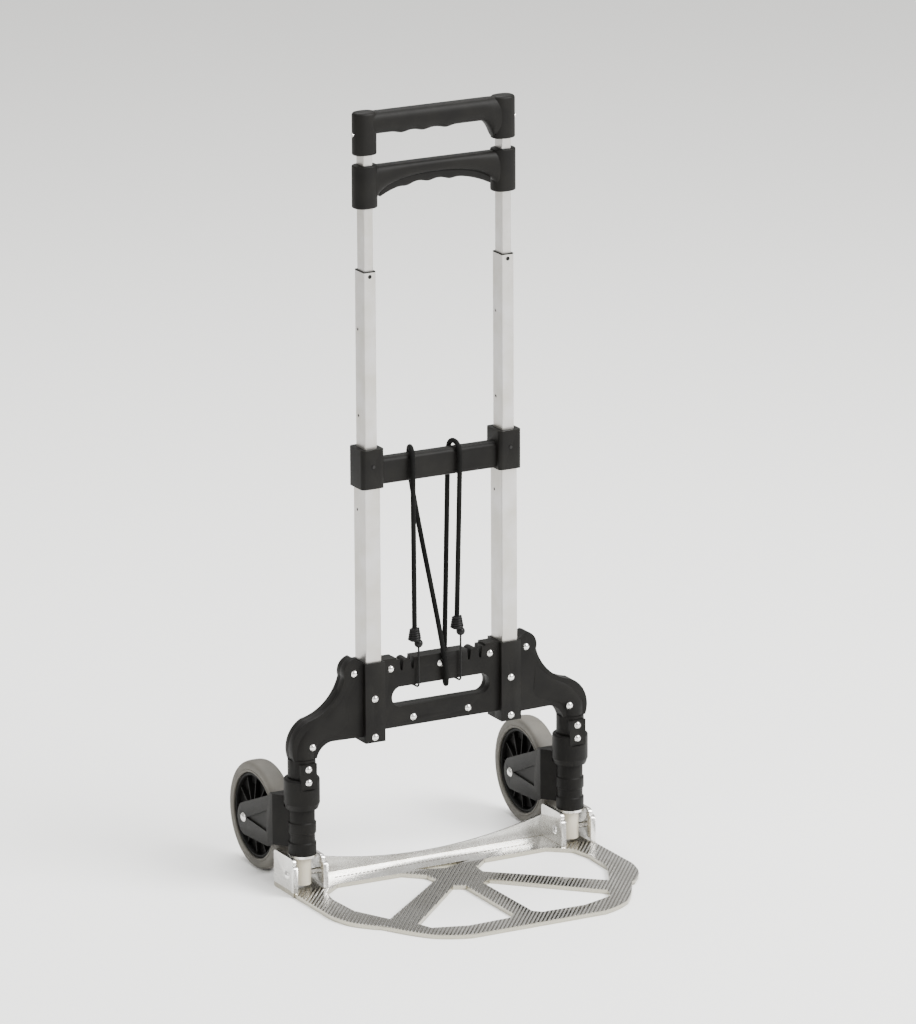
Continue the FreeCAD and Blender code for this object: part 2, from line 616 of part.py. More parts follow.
def wheel(side, sign):
    """Rubber tyre on a spoked rim, on two bushes round a bolt held by the fork's arms."""
    place = (f"{sign} * post_span", "wheel_trail", "wheel_radius")
    turned(f"{side}_tyre", [
        ("-tyre_half + 3", "rim_radius"), ("tyre_half - 3", "rim_radius"),
        ("tyre_half", "rim_radius + 3"), ("tyre_half", "wheel_radius - 9"),
        ("-tyre_half", "wheel_radius - 9", "17"), ("-tyre_half", "rim_radius + 3")],
        f"{side}_tyre", *place, plane="XY_Plane", axis="H_Axis")
    rim = turned(f"{side}_rim", [
        ("-hub_half", "bearing_radius"), ("hub_half", "bearing_radius"), ("hub_half", "hub_outer"),
        ("rim_web", "hub_outer + 2"), ("rim_web", "rim_radius - 5"), ("tyre_half - 3", "rim_radius - 4"),
        ("tyre_half - 3", "rim_radius"), ("-tyre_half + 3", "rim_radius"),
        ("-tyre_half + 3", "rim_radius - 4"), ("-rim_web", "rim_radius - 5"),
        ("-rim_web", "hub_outer + 2"),
        ("-hub_half", "hub_outer")], f"{side}_rim", *place, plane="XY_Plane", axis="H_Axis")
    windows = sketch_on(rim, "YZ_Plane")
    for step in range(RIM_WINDOWS):
        turn = step * 360 / RIM_WINDOWS
        circle(windows, f"window_ring * cos({turn} deg)", f"window_ring * sin({turn} deg)",
               "window_radius")
    pocket(rim, windows)
    reach, bore = size("hub_half"), size("axle_radius + running_gap")
    outer, length = size("bearing_radius"), size("wheel_bush_length")
    centre = V(sign * size("post_span"), size("wheel_trail"), size("wheel_radius"))
    bushes = []
    for start in (-reach, reach - length):
        ring = Part.makeCylinder(outer, length, centre + V(start, 0, 0), X_AXIS)
        bushes.append(ring.cut(Part.makeCylinder(bore, length, centre + V(start, 0, 0), X_AXIS)))
    group(f"{side}_wheel_bushes", bushes)
    bolt(f"{side}_axle_bolt", f"{side}_axle_nut", centre, size("fork_outer"), size("axle_radius"), sign)


def bolt(label, nut_label, centre, half, radius, sign):
    """Bolt along X through a pair of plates, with a domed head outside and a dome nut inside."""
    head, rise = size("bolt_head_radius"), size("bolt_head_height")
    shank = Part.makeCylinder(radius, 2 * half, centre - V(half, 0, 0), X_AXIS)
    caps = []
    for way in (sign, -sign):
        ball = (head ** 2 + rise ** 2) / (2 * rise)
        face = centre + V(way * half, 0, 0)
        disc = Part.makeCylinder(head, rise + 1, face, V(way, 0, 0))
        dome = Part.makeSphere(ball, face + V(way * (rise - ball), 0, 0))
        caps.append(disc.common(dome))
    group(label, [shank.fuse(caps[0]).removeSplitter()])
    group(nut_label, [caps[1]])


for side, sign in SIDES:
    fork(side, sign)
    wheel(side, sign)


# --- toe plate -----------------------------------------------------------------------------------

# Corners of the plate's right half, across and depth: its edge from the front to the rear, and the
# windows that its spokes leave open. The short window lies across the middle of the hinge line.
PLATE_EDGE = [
    ("100", "-plate_front"), ("148", "-262", "120"), ("182", "-212", "260"), ("191", "-197"),
    ("197", "-194"), ("206", "-183"), ("226", "-146", "70"), ("plate_half", "-112", "90"),
    ("plate_half", "plate_rear - 6"), ("plate_half - 6", "plate_rear", "6")]
PLATE_WINDOWS = [
    [("38", "-40"), ("64", "-16"), ("160", "-14"), ("190", "-38"), ("196", "-70"), ("193", "-125"),
     ("167", "-178"), ("36", "-62")],
    [("13", "-104"), ("28", "-96"), ("144", "-213"), ("136", "-236"), ("88", "-252"), ("24", "-250"),
     ("14", "-240")]]
SHORT_WINDOW = [("-46", "-9"), ("0", "-25"), ("46", "-9")]


def toe_plate():
    """Cast plate with five openings, a dipped rear flange and two ears round each hinge barrel."""
    body = body_named("toe_plate")
    face = sketch_on(body, "XY_Plane")
    outline(face, with_mirror(PLATE_EDGE))
    pad(body, face, "plate_thick")
    holes = sketch_on(body, "XY_Plane")
    for corners in PLATE_WINDOWS:
        outline(holes, corners)
        outline(holes, [(f"-{across}", depth) for across, depth in reversed(corners)])
    outline(holes, SHORT_WINDOW)
    pocket(body, holes)
    flange = sketch_on(body, "XZ_Plane", "-plate_rear")
    outline(flange, [
        ("-flange_span", "1"), ("flange_span", "1"), ("flange_span", "flange_end"),
        ("-flange_span", "flange_end",
         "-(flange_span ^ 2 + (flange_end - flange_mid) ^ 2) / (2 * (flange_end - flange_mid))")])
    pad(body, flange, "flange_thick")
    for _, sign in SIDES:
        for way in (-1, 1):
            near = f"{sign} * post_span + {way} * ear_gap / 2"
            ear = sketch_on(body, "YZ_Plane", near)
            outline(ear, [
                ("-ear_front", "1"), ("ear_back", "1"), ("ear_back", "ear_head - 5"),
                ("ear_back - 5", "ear_head", "5"), ("-ear_front + 7", "ear_head"),
                ("-ear_front", "ear_head - 7", "7")])
            pad(body, ear, "ear_thick", reverse=way < 0)
            bead = sketch_on(body, "YZ_Plane", near)
            outline(bead, [
                ("-ear_front - 5", "1"), ("-ear_front + 1", "1"), ("-ear_front + 1", "ear_head - 8"),
                ("-ear_front - 5", "ear_head - 12", "9")])
            pad(body, bead, "ear_thick + 2", reverse=way < 0)
    pins = sketch_on(body, "YZ_Plane")
    circle(pins, "0", "pivot_height", "bolt_radius")
    pocket(body, pins)
    return node(body, "toe_plate")


toe_plate()
for side, sign in SIDES:
    bolt(f"{side}_hinge_bolt", f"{side}_hinge_nut", V(sign * size("post_span"), 0, size("pivot_height")),
         size("ear_gap / 2 + ear_thick"), size("bolt_radius"), sign)


# --- tube bracket --------------------------------------------------------------------------------

def tube_bracket():
    """Moulded crossbar between two collars that cap the outer tubes and guide the middle ones."""
    body = body_named("tube_bracket")
    bar = sketch_on(body, "YZ_Plane")
    rounded(bar, "bar_depth / 2", "(bar_head - bar_foot) / 2", "collar_corner",
            "0", "(bar_head + bar_foot) / 2")
    pad(body, bar, "tube_spacing", both=True)
    collars = sketch_on(body, "XY_Plane", "collar_foot")
    wells = sketch_on(body, "XY_Plane", "collar_foot")
    mouths = sketch_on(body, "XY_Plane", "collar_foot")
    for _, sign in SIDES:
        centre = f"{sign} * tube_spacing / 2"
        rounded(collars, "collar_width / 2", "collar_depth / 2", "collar_corner", centre)
        rounded(wells, "outer_width / 2", "outer_depth / 2", "tube_corner", centre)
        rounded(mouths, "stage_width / 2 + slide_gap", "stage_depth / 2 + slide_gap", "tube_corner", centre)
    pad(body, collars, "collar_head - collar_foot")
    pocket(body, wells, "outer_head - collar_foot", reverse=True)
    pocket(body, mouths, "collar_head - collar_foot + 5", reverse=True)
    seats = sketch_on(body, "XZ_Plane", "collar_depth / 2")
    for _, sign in SIDES:
        circle(seats, f"{sign} * tube_spacing / 2", "screw_height", "screw_radius")
    pocket(body, seats, "screw_seat")
    return node(body, "tube_bracket")


tube_bracket()
group("bracket_screws", [
    Part.makeCylinder(size("screw_radius"), size("screw_proud + screw_seat"),
                      V(sign * size("tube_spacing / 2"), -size("collar_depth / 2 + screw_proud"),
                        size("screw_height")), Y_AXIS)
    for _, sign in SIDES])


# --- release housing, trigger and top handle -------------------------------------------------------

def release_shell(label, front):
    """Half of the arched housing under the handle, with a collar round each inner tube."""
    body = body_named(label)
    collars = sketch_on(body, "XY_Plane", "case_foot")
    for _, sign in SIDES:
        rounded(collars, "case_width / 2", "case_depth / 2", "leg_corner", f"{sign} * tube_spacing / 2")
    pad(body, collars, "case_head - case_foot")
    bridge = sketch_on(body, "XZ_Plane")
    rise = "(arch_head - arch_foot)"
    outline(bridge, [
        ("arch_half", "arch_foot", f"-(arch_half ^ 2 + {rise} ^ 2) / (2 * {rise})"),
        ("tube_spacing / 2", "arch_foot"), ("tube_spacing / 2", "case_head - 1"),
        ("-tube_spacing / 2", "case_head - 1"), ("-tube_spacing / 2", "arch_foot"),
        ("-arch_half", "arch_foot")])
    pad(body, bridge, "2 * bridge_front", both=True)
    cavity = sketch_on(body, "XZ_Plane")
    rectangle(cavity, "-arch_half + 2", "arch_foot - 2", "arch_half - 2", "case_head - case_roof")
    pocket_width(body, cavity, "cavity_width")
    bores = sketch_on(body, "XY_Plane", "case_foot")
    for _, sign in SIDES:
        rounded(bores, "inner_width / 2", "inner_depth / 2", "tube_corner", f"{sign} * tube_spacing / 2")
    pocket(body, bores)
    keep_half(body, front, "case_foot - 10", "case_head + 10")
    return node(body, label)


def finger_edge(low):
    """Wavy lower edge, left to right: rounded finger bumps about the middle."""
    level = f"{low} + {FINGER_HEIGHT}"
    first = -FINGER_BUMPS * FINGER_PITCH / 2
    ends = [first + index * FINGER_PITCH for index in range(1, FINGER_BUMPS + 1)]
    return [(f"{first}", level)] + [(f"{end}", level, f"{FINGER_PITCH * 0.9}") for end in ends]


def trigger():
    """Squeeze bar with finger grooves that slides up inside the arched housing."""
    body = body_named("release_trigger")
    face = sketch_on(body, "XZ_Plane")
    left = [("-trigger_half", "trigger_tip"), ("-trigger_flat", "trigger_low", "-trigger_arc")]
    right = [("trigger_flat", "trigger_low"), ("trigger_half", "trigger_tip", "-trigger_arc")]
    top = [("trigger_half", "trigger_tip + 4"), ("trigger_flat", "trigger_head", "trigger_arc"),
           ("-trigger_flat", "trigger_head"), ("-trigger_half", "trigger_tip + 4", "trigger_arc")]
    outline(face, left + finger_edge("trigger_low - 1") + right + top)
    pad(body, face, "trigger_thick", both=True)
    return node(body, "release_trigger")


def top_handle():
    """One-piece handle: a leg over each inner tube and a finger-grooved grip between them."""
    body = body_named("top_handle")
    legs = sketch_on(body, "XY_Plane", "leg_foot")
    for _, sign in SIDES:
        rounded(legs, "case_width / 2", "grip_depth / 2", "leg_corner", f"{sign} * tube_spacing / 2")
    pad(body, legs, "grip_head - leg_foot")
    grip = sketch_on(body, "XZ_Plane")
    outline(grip, [("-tube_spacing / 2", "grip_foot + 3")] + finger_edge("grip_foot - 1")
            + [("tube_spacing / 2", "grip_foot + 3"), ("tube_spacing / 2", "grip_head - 1"),
               ("-tube_spacing / 2", "grip_head - 1")])
    pad(body, grip, "grip_depth - 3", both=True)
    soften(body, "grip_corner", lambda edge: along(edge, X_AXIS) and edge.Length > 100
           and edge.BoundBox.ZMin > size("grip_head") - 2)
    bores = sketch_on(body, "XY_Plane", "leg_foot")
    for _, sign in SIDES:
        rounded(bores, "inner_width / 2", "inner_depth / 2", "tube_corner", f"{sign} * tube_spacing / 2")
    pocket(body, bores, "inner_head - leg_foot", reverse=True)
    for _, sign in SIDES:
        seat = sketch_on(body, "YZ_Plane", f"{sign} * (tube_spacing / 2 + case_width / 2 - screw_seat)")
        circle(seat, "0", "side_screw_height", "side_screw_radius")
        pocket(body, seat, "5", reverse=sign > 0)
    return node(body, "top_handle")


release_shell("release_front_shell", True)
release_shell("release_rear_shell", False)
trigger()
top_handle()
tube_x = size("tube_spacing") / 2
group("handle_screws", [
    Part.makeCylinder(size("side_screw_radius"), size("screw_seat + side_screw_proud"),
                      V(sign * (tube_x + size("case_width / 2 - screw_seat")), 0,
                        size("side_screw_height")), V(sign, 0, 0))
    for _, sign in SIDES])
group("release_rods", [
    Part.makeCylinder(size("rod_radius"), size("rod_head - rod_foot"),
                      V(sign * tube_x, 0, size("rod_foot")))
    for _, sign in SIDES])


def sleeve(centre, radius, bore, foot, head):
    """Upright sleeve, standing for a coil spring."""
    place = V(centre, 0, foot)
    return Part.makeCylinder(radius, head - foot, place).cut(Part.makeCylinder(bore, head - foot, place))


group("release_springs", [
    sleeve(sign * tube_x, size("spring_radius"), size("spring_bore"), size("spring_foot"),
           size("spring_head"))
    for _, sign in SIDES])
for side, sign in SIDES:
    inset = size("inner_width / 2 + lock_clearance")
    start = V(sign * (tube_x - inset), size("detent_depth"), size("detent_high"))
    group(f"{side}_lock_pin", [
        Part.makeCylinder(size("lock_radius"), size("lock_length"), start, V(sign, 0, 0))])


# --- bungee cord and its hooks ---------------------------------------------------------------------

# Centre line, from the left hook over the crossbar, round the upper rail and back: x, y, z, with y
# from the post plane.
CORD_ROUTE = [
    (-42, -16.5, 349), (-42.5, -15, 595), (-33.5, 15, 595), (-31, 16, 546), (4, -18.5, 300),
    (5.5, -18.5, 259.3), (19.5, 15.5, 259.3), (27, 15, 595), (29, -15, 595), (22.5, -16.5, 357)]


def tight_tube(points, radius, loosest=math.inf):
    """Round tube along straight runs joined by arcs, each 0.45 of its shorter run or a set radius."""
    points = [V(*point) for point in points]
    edges, here, length = [], points[0], 0.0
    for before, corner, after in zip(points, points[1:], points[2:]):
        back, ahead = (before - corner), (after - corner)
        run = min(back.Length, ahead.Length)
        turn = math.pi - back.getAngle(ahead)
        reach = min(0.45 * run, loosest * math.tan(turn / 2))
        bend = reach / math.tan(turn / 2)
        back.normalize()
        ahead.normalize()
        start, stop = corner + back * reach, corner + ahead * reach
        inward = (back + ahead).normalize()
        middle = corner + inward * (bend / math.cos(turn / 2) - bend)
        edges += [Part.LineSegment(here, start).toShape(), Part.Arc(start, middle, stop).toShape()]
        length += (start - here).Length + bend * turn
        here = stop
        print(f"cord bend radius {bend:.1f} mm, turn {math.degrees(turn):.0f} degrees")
    edges.append(Part.LineSegment(here, points[-1]).toShape())
    length += (points[-1] - here).Length
    wire = Part.Wire(edges)
    first = (points[1] - points[0]).normalize()
    ring = Part.Wire(Part.Circle(points[0], first, radius).toShape())
    solid = wire.makePipeShell([ring], True, True)
    ratio = solid.Volume / (math.pi * radius ** 2 * length)
    print(f"cord length {length:.1f} mm, volume ratio {ratio:.4f}")
    return solid


group("bungee_cord", [tight_tube(CORD_ROUTE, size("cord_radius"))])


def cord_hook(side, top, drop):
    """Wire hook: a wound ferrule on the cord's end, a stem down the rail's face and a bend under it."""
    base, apex = size("coil_base"), size("coil_top")
    across, depth, height = top
    seat = V(across, depth, height - size("ferrule_drop"))
    ferrule = Part.makeCone(base, apex, size("ferrule_height"), seat)
    bead = Part.makeSphere(size("bead_radius"), V(drop, depth, height - size("bead_drop")))
    group(f"{side}_cord_ferrule", [ferrule.cut(bead)])
    front, rear, low = -size("hook_front"), size("hook_rear"), size("hook_low")
    behind = drop - 0.5
    wire = tight_tube([
        (drop, front, height - size("stem_drop")), (drop, front, low), (behind, rear, low),
        (behind, rear, size("hook_tip"))], size("wire_radius"), size("hook_bend"))
    group(f"{side}_cord_bead", [bead.cut(wire)])
    group(f"{side}_cord_hook", [wire])


cord_hook("left", CORD_ROUTE[0], -36)
cord_hook("right", CORD_ROUTE[-1], 28)


# --- checks and export ---------------------------------------------------------------------------

doc.recompute()
for thing in doc.Objects:
    if "Invalid" in thing.State or "Error" in thing.State:
        raise SystemExit(f"{thing.Name} is {thing.State}")
for thing in NODES:
    if thing.Shape.isNull() or not thing.Shape.isValid() or not thing.Shape.Solids:
        raise SystemExit(f"{thing.Label} has no valid solid")
os.makedirs("parts", exist_ok=True)
for thing in NODES:
    thing.Shape.exportStep(f"parts/{thing.Label}.step")
print(f"{len(NODES)} sub-parts written")
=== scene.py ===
"""Folding hand truck: the finished look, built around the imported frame.

Every length is in metres in the frame's own axes: +Z up, the toe plate towards -Y, the wheels
towards +Y. Sizes that a maker would read off a drawing are given in millimetres and turned by MM.
"""
from __future__ import annotations

import json
import logging
import math
from dataclasses import dataclass, replace
from enum import Enum
from typing import Any

import bmesh
import bpy
import numpy as np
from mathutils import Matrix, Vector

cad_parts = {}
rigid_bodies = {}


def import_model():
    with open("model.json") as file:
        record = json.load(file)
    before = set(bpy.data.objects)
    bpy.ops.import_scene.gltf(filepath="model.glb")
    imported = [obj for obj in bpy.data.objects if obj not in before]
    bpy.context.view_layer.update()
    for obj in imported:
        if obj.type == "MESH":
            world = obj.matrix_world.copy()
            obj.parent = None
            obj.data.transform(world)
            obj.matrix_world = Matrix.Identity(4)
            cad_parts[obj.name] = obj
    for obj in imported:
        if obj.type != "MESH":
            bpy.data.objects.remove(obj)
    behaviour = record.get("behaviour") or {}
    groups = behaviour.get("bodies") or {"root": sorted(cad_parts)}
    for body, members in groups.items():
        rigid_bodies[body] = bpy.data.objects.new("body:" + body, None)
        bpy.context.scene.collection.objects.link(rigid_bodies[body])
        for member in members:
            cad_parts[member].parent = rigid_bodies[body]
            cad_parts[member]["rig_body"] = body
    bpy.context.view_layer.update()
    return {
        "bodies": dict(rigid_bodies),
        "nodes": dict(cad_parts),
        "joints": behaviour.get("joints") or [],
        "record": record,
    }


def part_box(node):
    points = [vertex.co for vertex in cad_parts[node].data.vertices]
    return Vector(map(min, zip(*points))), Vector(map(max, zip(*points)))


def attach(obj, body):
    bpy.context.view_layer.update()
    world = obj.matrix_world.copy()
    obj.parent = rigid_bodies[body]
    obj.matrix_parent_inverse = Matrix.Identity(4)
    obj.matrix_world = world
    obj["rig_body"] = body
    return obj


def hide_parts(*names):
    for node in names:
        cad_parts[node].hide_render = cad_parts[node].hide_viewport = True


MM = 0.001
LOG = logging.getLogger("hand_truck")
SIDES = (("left", -1.0), ("right", 1.0))
CREASE = math.radians(38)
FLAT_ANGLE = math.radians(0.6)
WELD = 1e-6
DECK_TOP = 6.0 * MM
CLOUD_PER_METRE = 28.0
CLOUD_SPAN = (0.35, 0.65)
GRAIN_SPAN = (0.3, 0.7)
BUMP_STRENGTH = 0.6


# --- finishes ------------------------------------------------------------------------------------

class Grain(Enum):
    """How a surface was made, which decides its pattern."""

    MOULDED = "moulded"
    DRAWN = "drawn"
    CAST = "cast"
    BRAIDED = "braided"


@dataclass(frozen=True)
class Finish:
    """One real material and the way that its surface was made.

    Colours are sRGB hex; pattern_mm is the real spacing of the pattern and relief_mm its depth.
    """

    name: str
    colour: str
    shade: str
    grain: Grain
    pattern_mm: float
    relief_mm: float
    rough_low: float
    rough_high: float
    metallic: float = 0.0
    ior: float = 1.5
    specular: float = 0.5
    stretch: tuple[float, float, float] = (1.0, 1.0, 1.0)

    def build(self) -> bpy.types.Material:
        """Make the node material.

        Returns:
            The material: two tones mixed by a broad cloud, a roughness that follows the fine
            pattern, and a bump of the pattern's real depth.
        """
        material = bpy.data.materials.new(self.name)
        material.use_nodes = True
        tree = material.node_tree
        tree.nodes.clear()
        place = add_node(tree, "ShaderNodeTexCoord")
        output = "UV" if self.grain is Grain.BRAIDED else "Object"
        mapped = add_node(tree, "ShaderNodeMapping", {"Scale": self.stretch},
                          {"Vector": place.outputs[output]})
        per_metre = 1.0 / (self.pattern_mm * MM)
        fine = add_node(tree, "ShaderNodeTexNoise",
                        {"Scale": per_metre, "Detail": 3.0, "Roughness": 0.6},
                        {"Vector": mapped.outputs["Vector"]})
        broad = add_node(tree, "ShaderNodeTexNoise", {"Scale": CLOUD_PER_METRE, "Detail": 4.0},
                         {"Vector": place.outputs["Object"]})
        tone = add_node(tree, "ShaderNodeMapRange",
                        {"From Min": CLOUD_SPAN[0], "From Max": CLOUD_SPAN[1], "To Min": 0.0,
                         "To Max": 1.0},
                        {"Value": broad.outputs["Fac"]})
        colour = add_node(tree, "ShaderNodeMix",
                          {"data_type": "RGBA", 6: linear(self.colour), 7: linear(self.shade)},
                          {0: tone.outputs["Result"]})
        rough = add_node(tree, "ShaderNodeMapRange",
                         {"From Min": GRAIN_SPAN[0], "From Max": GRAIN_SPAN[1],
                          "To Min": self.rough_low, "To Max": self.rough_high},
                         {"Value": fine.outputs["Fac"]})
        bump = add_node(tree, "ShaderNodeBump",
                        {"Strength": BUMP_STRENGTH, "Distance": self.relief_mm * MM},
                        {"Height": fine.outputs["Fac"]})
        shader = add_node(tree, "ShaderNodeBsdfPrincipled",
                          {"Metallic": self.metallic, "IOR": self.ior,
                           "Specular IOR Level": self.specular},
                          {"Base Color": colour.outputs[2], "Roughness": rough.outputs["Result"],
                           "Normal": bump.outputs["Normal"]})
        add_node(tree, "ShaderNodeOutputMaterial", links={"Surface": shader.outputs["BSDF"]})
        return material


# Extruded tube, satin anodised: pale, with faint drawing lines up its length.
ANODISED_TUBE = Finish("anodised_aluminium", "#b9b7b6", "#aeaba5", Grain.DRAWN, 0.9, 0.02,
                       0.30, 0.42, metallic=0.85, stretch=(1.0, 1.0, 0.02))
# Cast aluminium, machine polished: bright, slightly uneven.
CAST_PLATE = Finish("polished_cast_aluminium", "#e2e1de", "#cfcdc8", Grain.CAST, 1.6, 0.03,
                    0.16, 0.34, metallic=1.0)
# Glass-filled nylon, moulded: near black with a dry satin sheen; grain drawn coarser than real.
BLACK_NYLON = Finish("glass_filled_nylon", "#0b0a09", "#12110f", Grain.MOULDED, 0.7, 0.035,
                     0.44, 0.62, ior=1.53, specular=0.12)
RIM_NYLON = Finish("moulded_rim_nylon", "#0c0c0b", "#141312", Grain.MOULDED, 0.8, 0.03,
                   0.46, 0.62, ior=1.53, specular=0.08)
# Thermoplastic rubber: matt warm grey, lightly dusty.
GREY_TYRE = Finish("grey_tread_rubber", "#57544d", "#4c4943", Grain.MOULDED, 0.9, 0.04,
                   0.58, 0.74, ior=1.52)
CREAM_NYLON = Finish("natural_nylon", "#cdc6b5", "#bfb7a4", Grain.MOULDED, 1.0, 0.02,
                     0.34, 0.46, ior=1.53)
BRIGHT_STEEL = Finish("nickel_plated_steel", "#e6e5e3", "#d4d2cf", Grain.CAST, 0.8, 0.01,
                      0.14, 0.24, metallic=1.0)
# The same casting with painted shade: the grey of a shaded groove's bottom, and dull.
GROOVE_SHADE_CAST = Finish("cast_aluminium_groove_painted_shade", "#6f6c66", "#625f59", Grain.CAST, 1.6, 0.03,
                     0.45, 0.60, metallic=0.6)
BLACK_STEEL = Finish("black_oxide_steel", "#1d1d1d", "#262524", Grain.CAST, 0.7, 0.02,
                     0.36, 0.50, metallic=0.6)
# Braided polyester sleeve over elastic: black, with crossing strands that are in the mesh too.
CORD_BRAID = Finish("braided_polyester", "#0a0a0a", "#121211", Grain.BRAIDED, 0.6, 0.05,
                    0.70, 0.86, specular=0.08, stretch=(1.0, 40.0, 1.0))
COATED_WIRE = Finish("vinyl_coated_wire", "#0b0b0b", "#131212", Grain.MOULDED, 0.9, 0.02,
                     0.34, 0.46, ior=1.53, specular=0.15)

SLOT_FINISHES = {
    "anodised_tube": ANODISED_TUBE, "cast_plate": CAST_PLATE, "black_nylon": BLACK_NYLON,
    "rim_nylon": RIM_NYLON, "grey_tyre": GREY_TYRE, "cream_nylon": CREAM_NYLON,
    "bright_steel": BRIGHT_STEEL, "black_steel": BLACK_STEEL, "cord_braid": CORD_BRAID,
    "coated_wire": COATED_WIRE,
}


@dataclass(frozen=True)
class RibbedCastPaintedShade:
    """Polished casting with painted shade on the deck's floor between its ribs and on its side
    faces.
    """

    name: str
    post_plane: float
    first_rib: float
    slope: float
    pitch: float
    plain_band: float
    # Painted shade: the dark tone of the deck's floor between the ribs.
    valley_shade: str = "#7d7a73"
    # Painted shade: the darker warm tone of the plate's side faces.
    edge: str = "#aaa699"
    rib_head: float = 6.6 * MM
    facing_up: float = 0.8
    facing_side: float = 0.6
    groove_wave: tuple[float, float] = (0.3, -0.5)

    def build(self) -> bpy.types.Material:
        """Make the node material.

        Returns:
            The polished casting, with painted shade in the valleys where the deck faces up in front
            of the plain band and cos(2 pi (s - first) / pitch) is low, and painted shade on its side
            faces.
        """
        material = replace(CAST_PLATE, name=self.name).build()
        tree = material.node_tree
        shader = next(n for n in tree.nodes if n.type == "BSDF_PRINCIPLED")
        plain = shader.inputs["Base Color"].links[0].from_socket
        place = add_node(tree, "ShaderNodeTexCoord")
        shape = add_node(tree, "ShaderNodeNewGeometry")
        facing = add_node(tree, "ShaderNodeSeparateXYZ", links={"Vector": shape.outputs["Normal"]})
        where = add_node(tree, "ShaderNodeSeparateXYZ", links={"Vector": place.outputs["Object"]})
        turned = add_node(tree, "ShaderNodeMapping", {"Rotation": (0.0, 0.0, -self.slope)},
                          {"Vector": place.outputs["Object"]})
        across = add_node(tree, "ShaderNodeSeparateXYZ", links={"Vector": turned.outputs["Vector"]})
        shifted = add_node(tree, "ShaderNodeMath", {"operation": "SUBTRACT", 1: self.first_rib},
                           {0: across.outputs["Y"]})
        phase = add_node(tree, "ShaderNodeMath", {"operation": "MULTIPLY",
                                                  1: 2 * math.pi / self.pitch},
                         {0: shifted.outputs["Value"]})
        wave = add_node(tree, "ShaderNodeMath", {"operation": "COSINE"},
                        {0: phase.outputs["Value"]})
        low = add_node(tree, "ShaderNodeMapRange",
                       {"From Min": self.groove_wave[0], "From Max": self.groove_wave[1]},
                       {"Value": wave.outputs["Value"]})
        ahead = add_node(tree, "ShaderNodeMath",
                         {"operation": "LESS_THAN", 1: self.post_plane + self.plain_band},
                         {0: where.outputs["Y"]})
        top = add_node(tree, "ShaderNodeMath", {"operation": "LESS_THAN", 1: self.rib_head},
                       {0: where.outputs["Z"]})
        upward = add_node(tree, "ShaderNodeMath",
                          {"operation": "GREATER_THAN", 1: self.facing_up},
                          {0: facing.outputs["Z"]})
        deck = add_node(tree, "ShaderNodeMath", {"operation": "MULTIPLY"},
                        {0: ahead.outputs["Value"], 1: top.outputs["Value"]})
        deck_up = add_node(tree, "ShaderNodeMath", {"operation": "MULTIPLY"},
                           {0: deck.outputs["Value"], 1: upward.outputs["Value"]})
        floor = add_node(tree, "ShaderNodeMath", {"operation": "MULTIPLY"},
                         {0: deck_up.outputs["Value"], 1: low.outputs["Result"]})
        level = add_node(tree, "ShaderNodeMath", {"operation": "ABSOLUTE"},
                         {0: facing.outputs["Z"]})
        upright = add_node(tree, "ShaderNodeMath",
                           {"operation": "LESS_THAN", 1: self.facing_side},
                           {0: level.outputs["Value"]})
        side = add_node(tree, "ShaderNodeMath", {"operation": "MULTIPLY"},
                        {0: upright.outputs["Value"], 1: top.outputs["Value"]})
        # Paint shade onto the deck's floor where the rib wave is low.
        ribbed = add_node(tree, "ShaderNodeMix", {"data_type": "RGBA", 7: linear(self.valley_shade)},
                          {0: floor.outputs["Value"], 6: plain})
        # Paint shade onto the faces that stand upright, below the rib heads.
        side_shaded = add_node(tree, "ShaderNodeMix", {"data_type": "RGBA", 7: linear(self.edge)},
                         {0: side.outputs["Value"], 6: ribbed.outputs[2]})
        tree.links.new(side_shaded.outputs[2], shader.inputs["Base Color"])
        return material


def linear(hex_colour: str) -> tuple[float, float, float, float]:
    """Turn an sRGB hex colour to linear light.

    Args:
        hex_colour: Text such as "#1c1b19".

    Returns:
        Red, green, blue and a full alpha.
    """
    parts = [int(hex_colour[i:i + 2], 16) / 255.0 for i in (1, 3, 5)]
    light = [c / 12.92 if c <= 0.04045 else ((c + 0.055) / 1.055) ** 2.4 for c in parts]
    return (*light, 1.0)


def add_node(tree: bpy.types.NodeTree, kind: str, settings: dict[Any, Any] | None = None,
             links: dict[Any, bpy.types.NodeSocket] | None = None) -> bpy.types.Node:
    """Add one node with its settings and links.

    Args:
        tree: The material's node tree.
        kind: The node's type name.
        settings: Values by property name, or by input name or number.
        links: Output sockets by the input name or number that they feed.

    Returns:
        The new node.
    """
    node = tree.nodes.new(kind)
    for key, value in (settings or {}).items():
        if isinstance(key, int) or key in node.inputs:
            node.inputs[key].default_value = value
        else:
            setattr(node, key, value)
    for key, socket in (links or {}).items():
        tree.links.new(socket, node.inputs[key])
    return node


# --- surfaces -------------------------------------------------------------------------------------

@dataclass
class Patch:
    """Points and faces of one closed surface."""

    points: np.ndarray
    faces: list[tuple[int, ...]]


def closed_patch(grid: np.ndarray, ring: bool = False) -> Patch:
    """Skin a grid of sections, each section a closed loop.

    Args:
        grid: Points by station, by place round the section, by axis.
        ring: True to join the last station to the first, or False to cap both ends.

    Returns:
        The closed surface.
    """
    stations, around = grid.shape[:2]
    index = np.arange(stations * around).reshape(stations, around)
    here = index if ring else index[:-1]
    there = np.roll(index, -1, axis=0) if ring else index[1:]
    quads = np.stack([here, np.roll(here, -1, axis=1), np.roll(there, -1, axis=1), there], axis=-1)
    faces = [tuple(face) for face in quads.reshape(-1, 4).tolist()]
    if not ring:
        faces += [tuple(index[0][::-1].tolist()), tuple(index[-1].tolist())]
    return Patch(grid.reshape(-1, 3), faces)


def unit(vectors: np.ndarray) -> np.ndarray:
    """Scale vectors to a length of one.

    Args:
        vectors: Vectors along the last axis.

    Returns:
        Each vector over its own length.
    """
    return vectors / np.linalg.norm(vectors, axis=-1, keepdims=True)


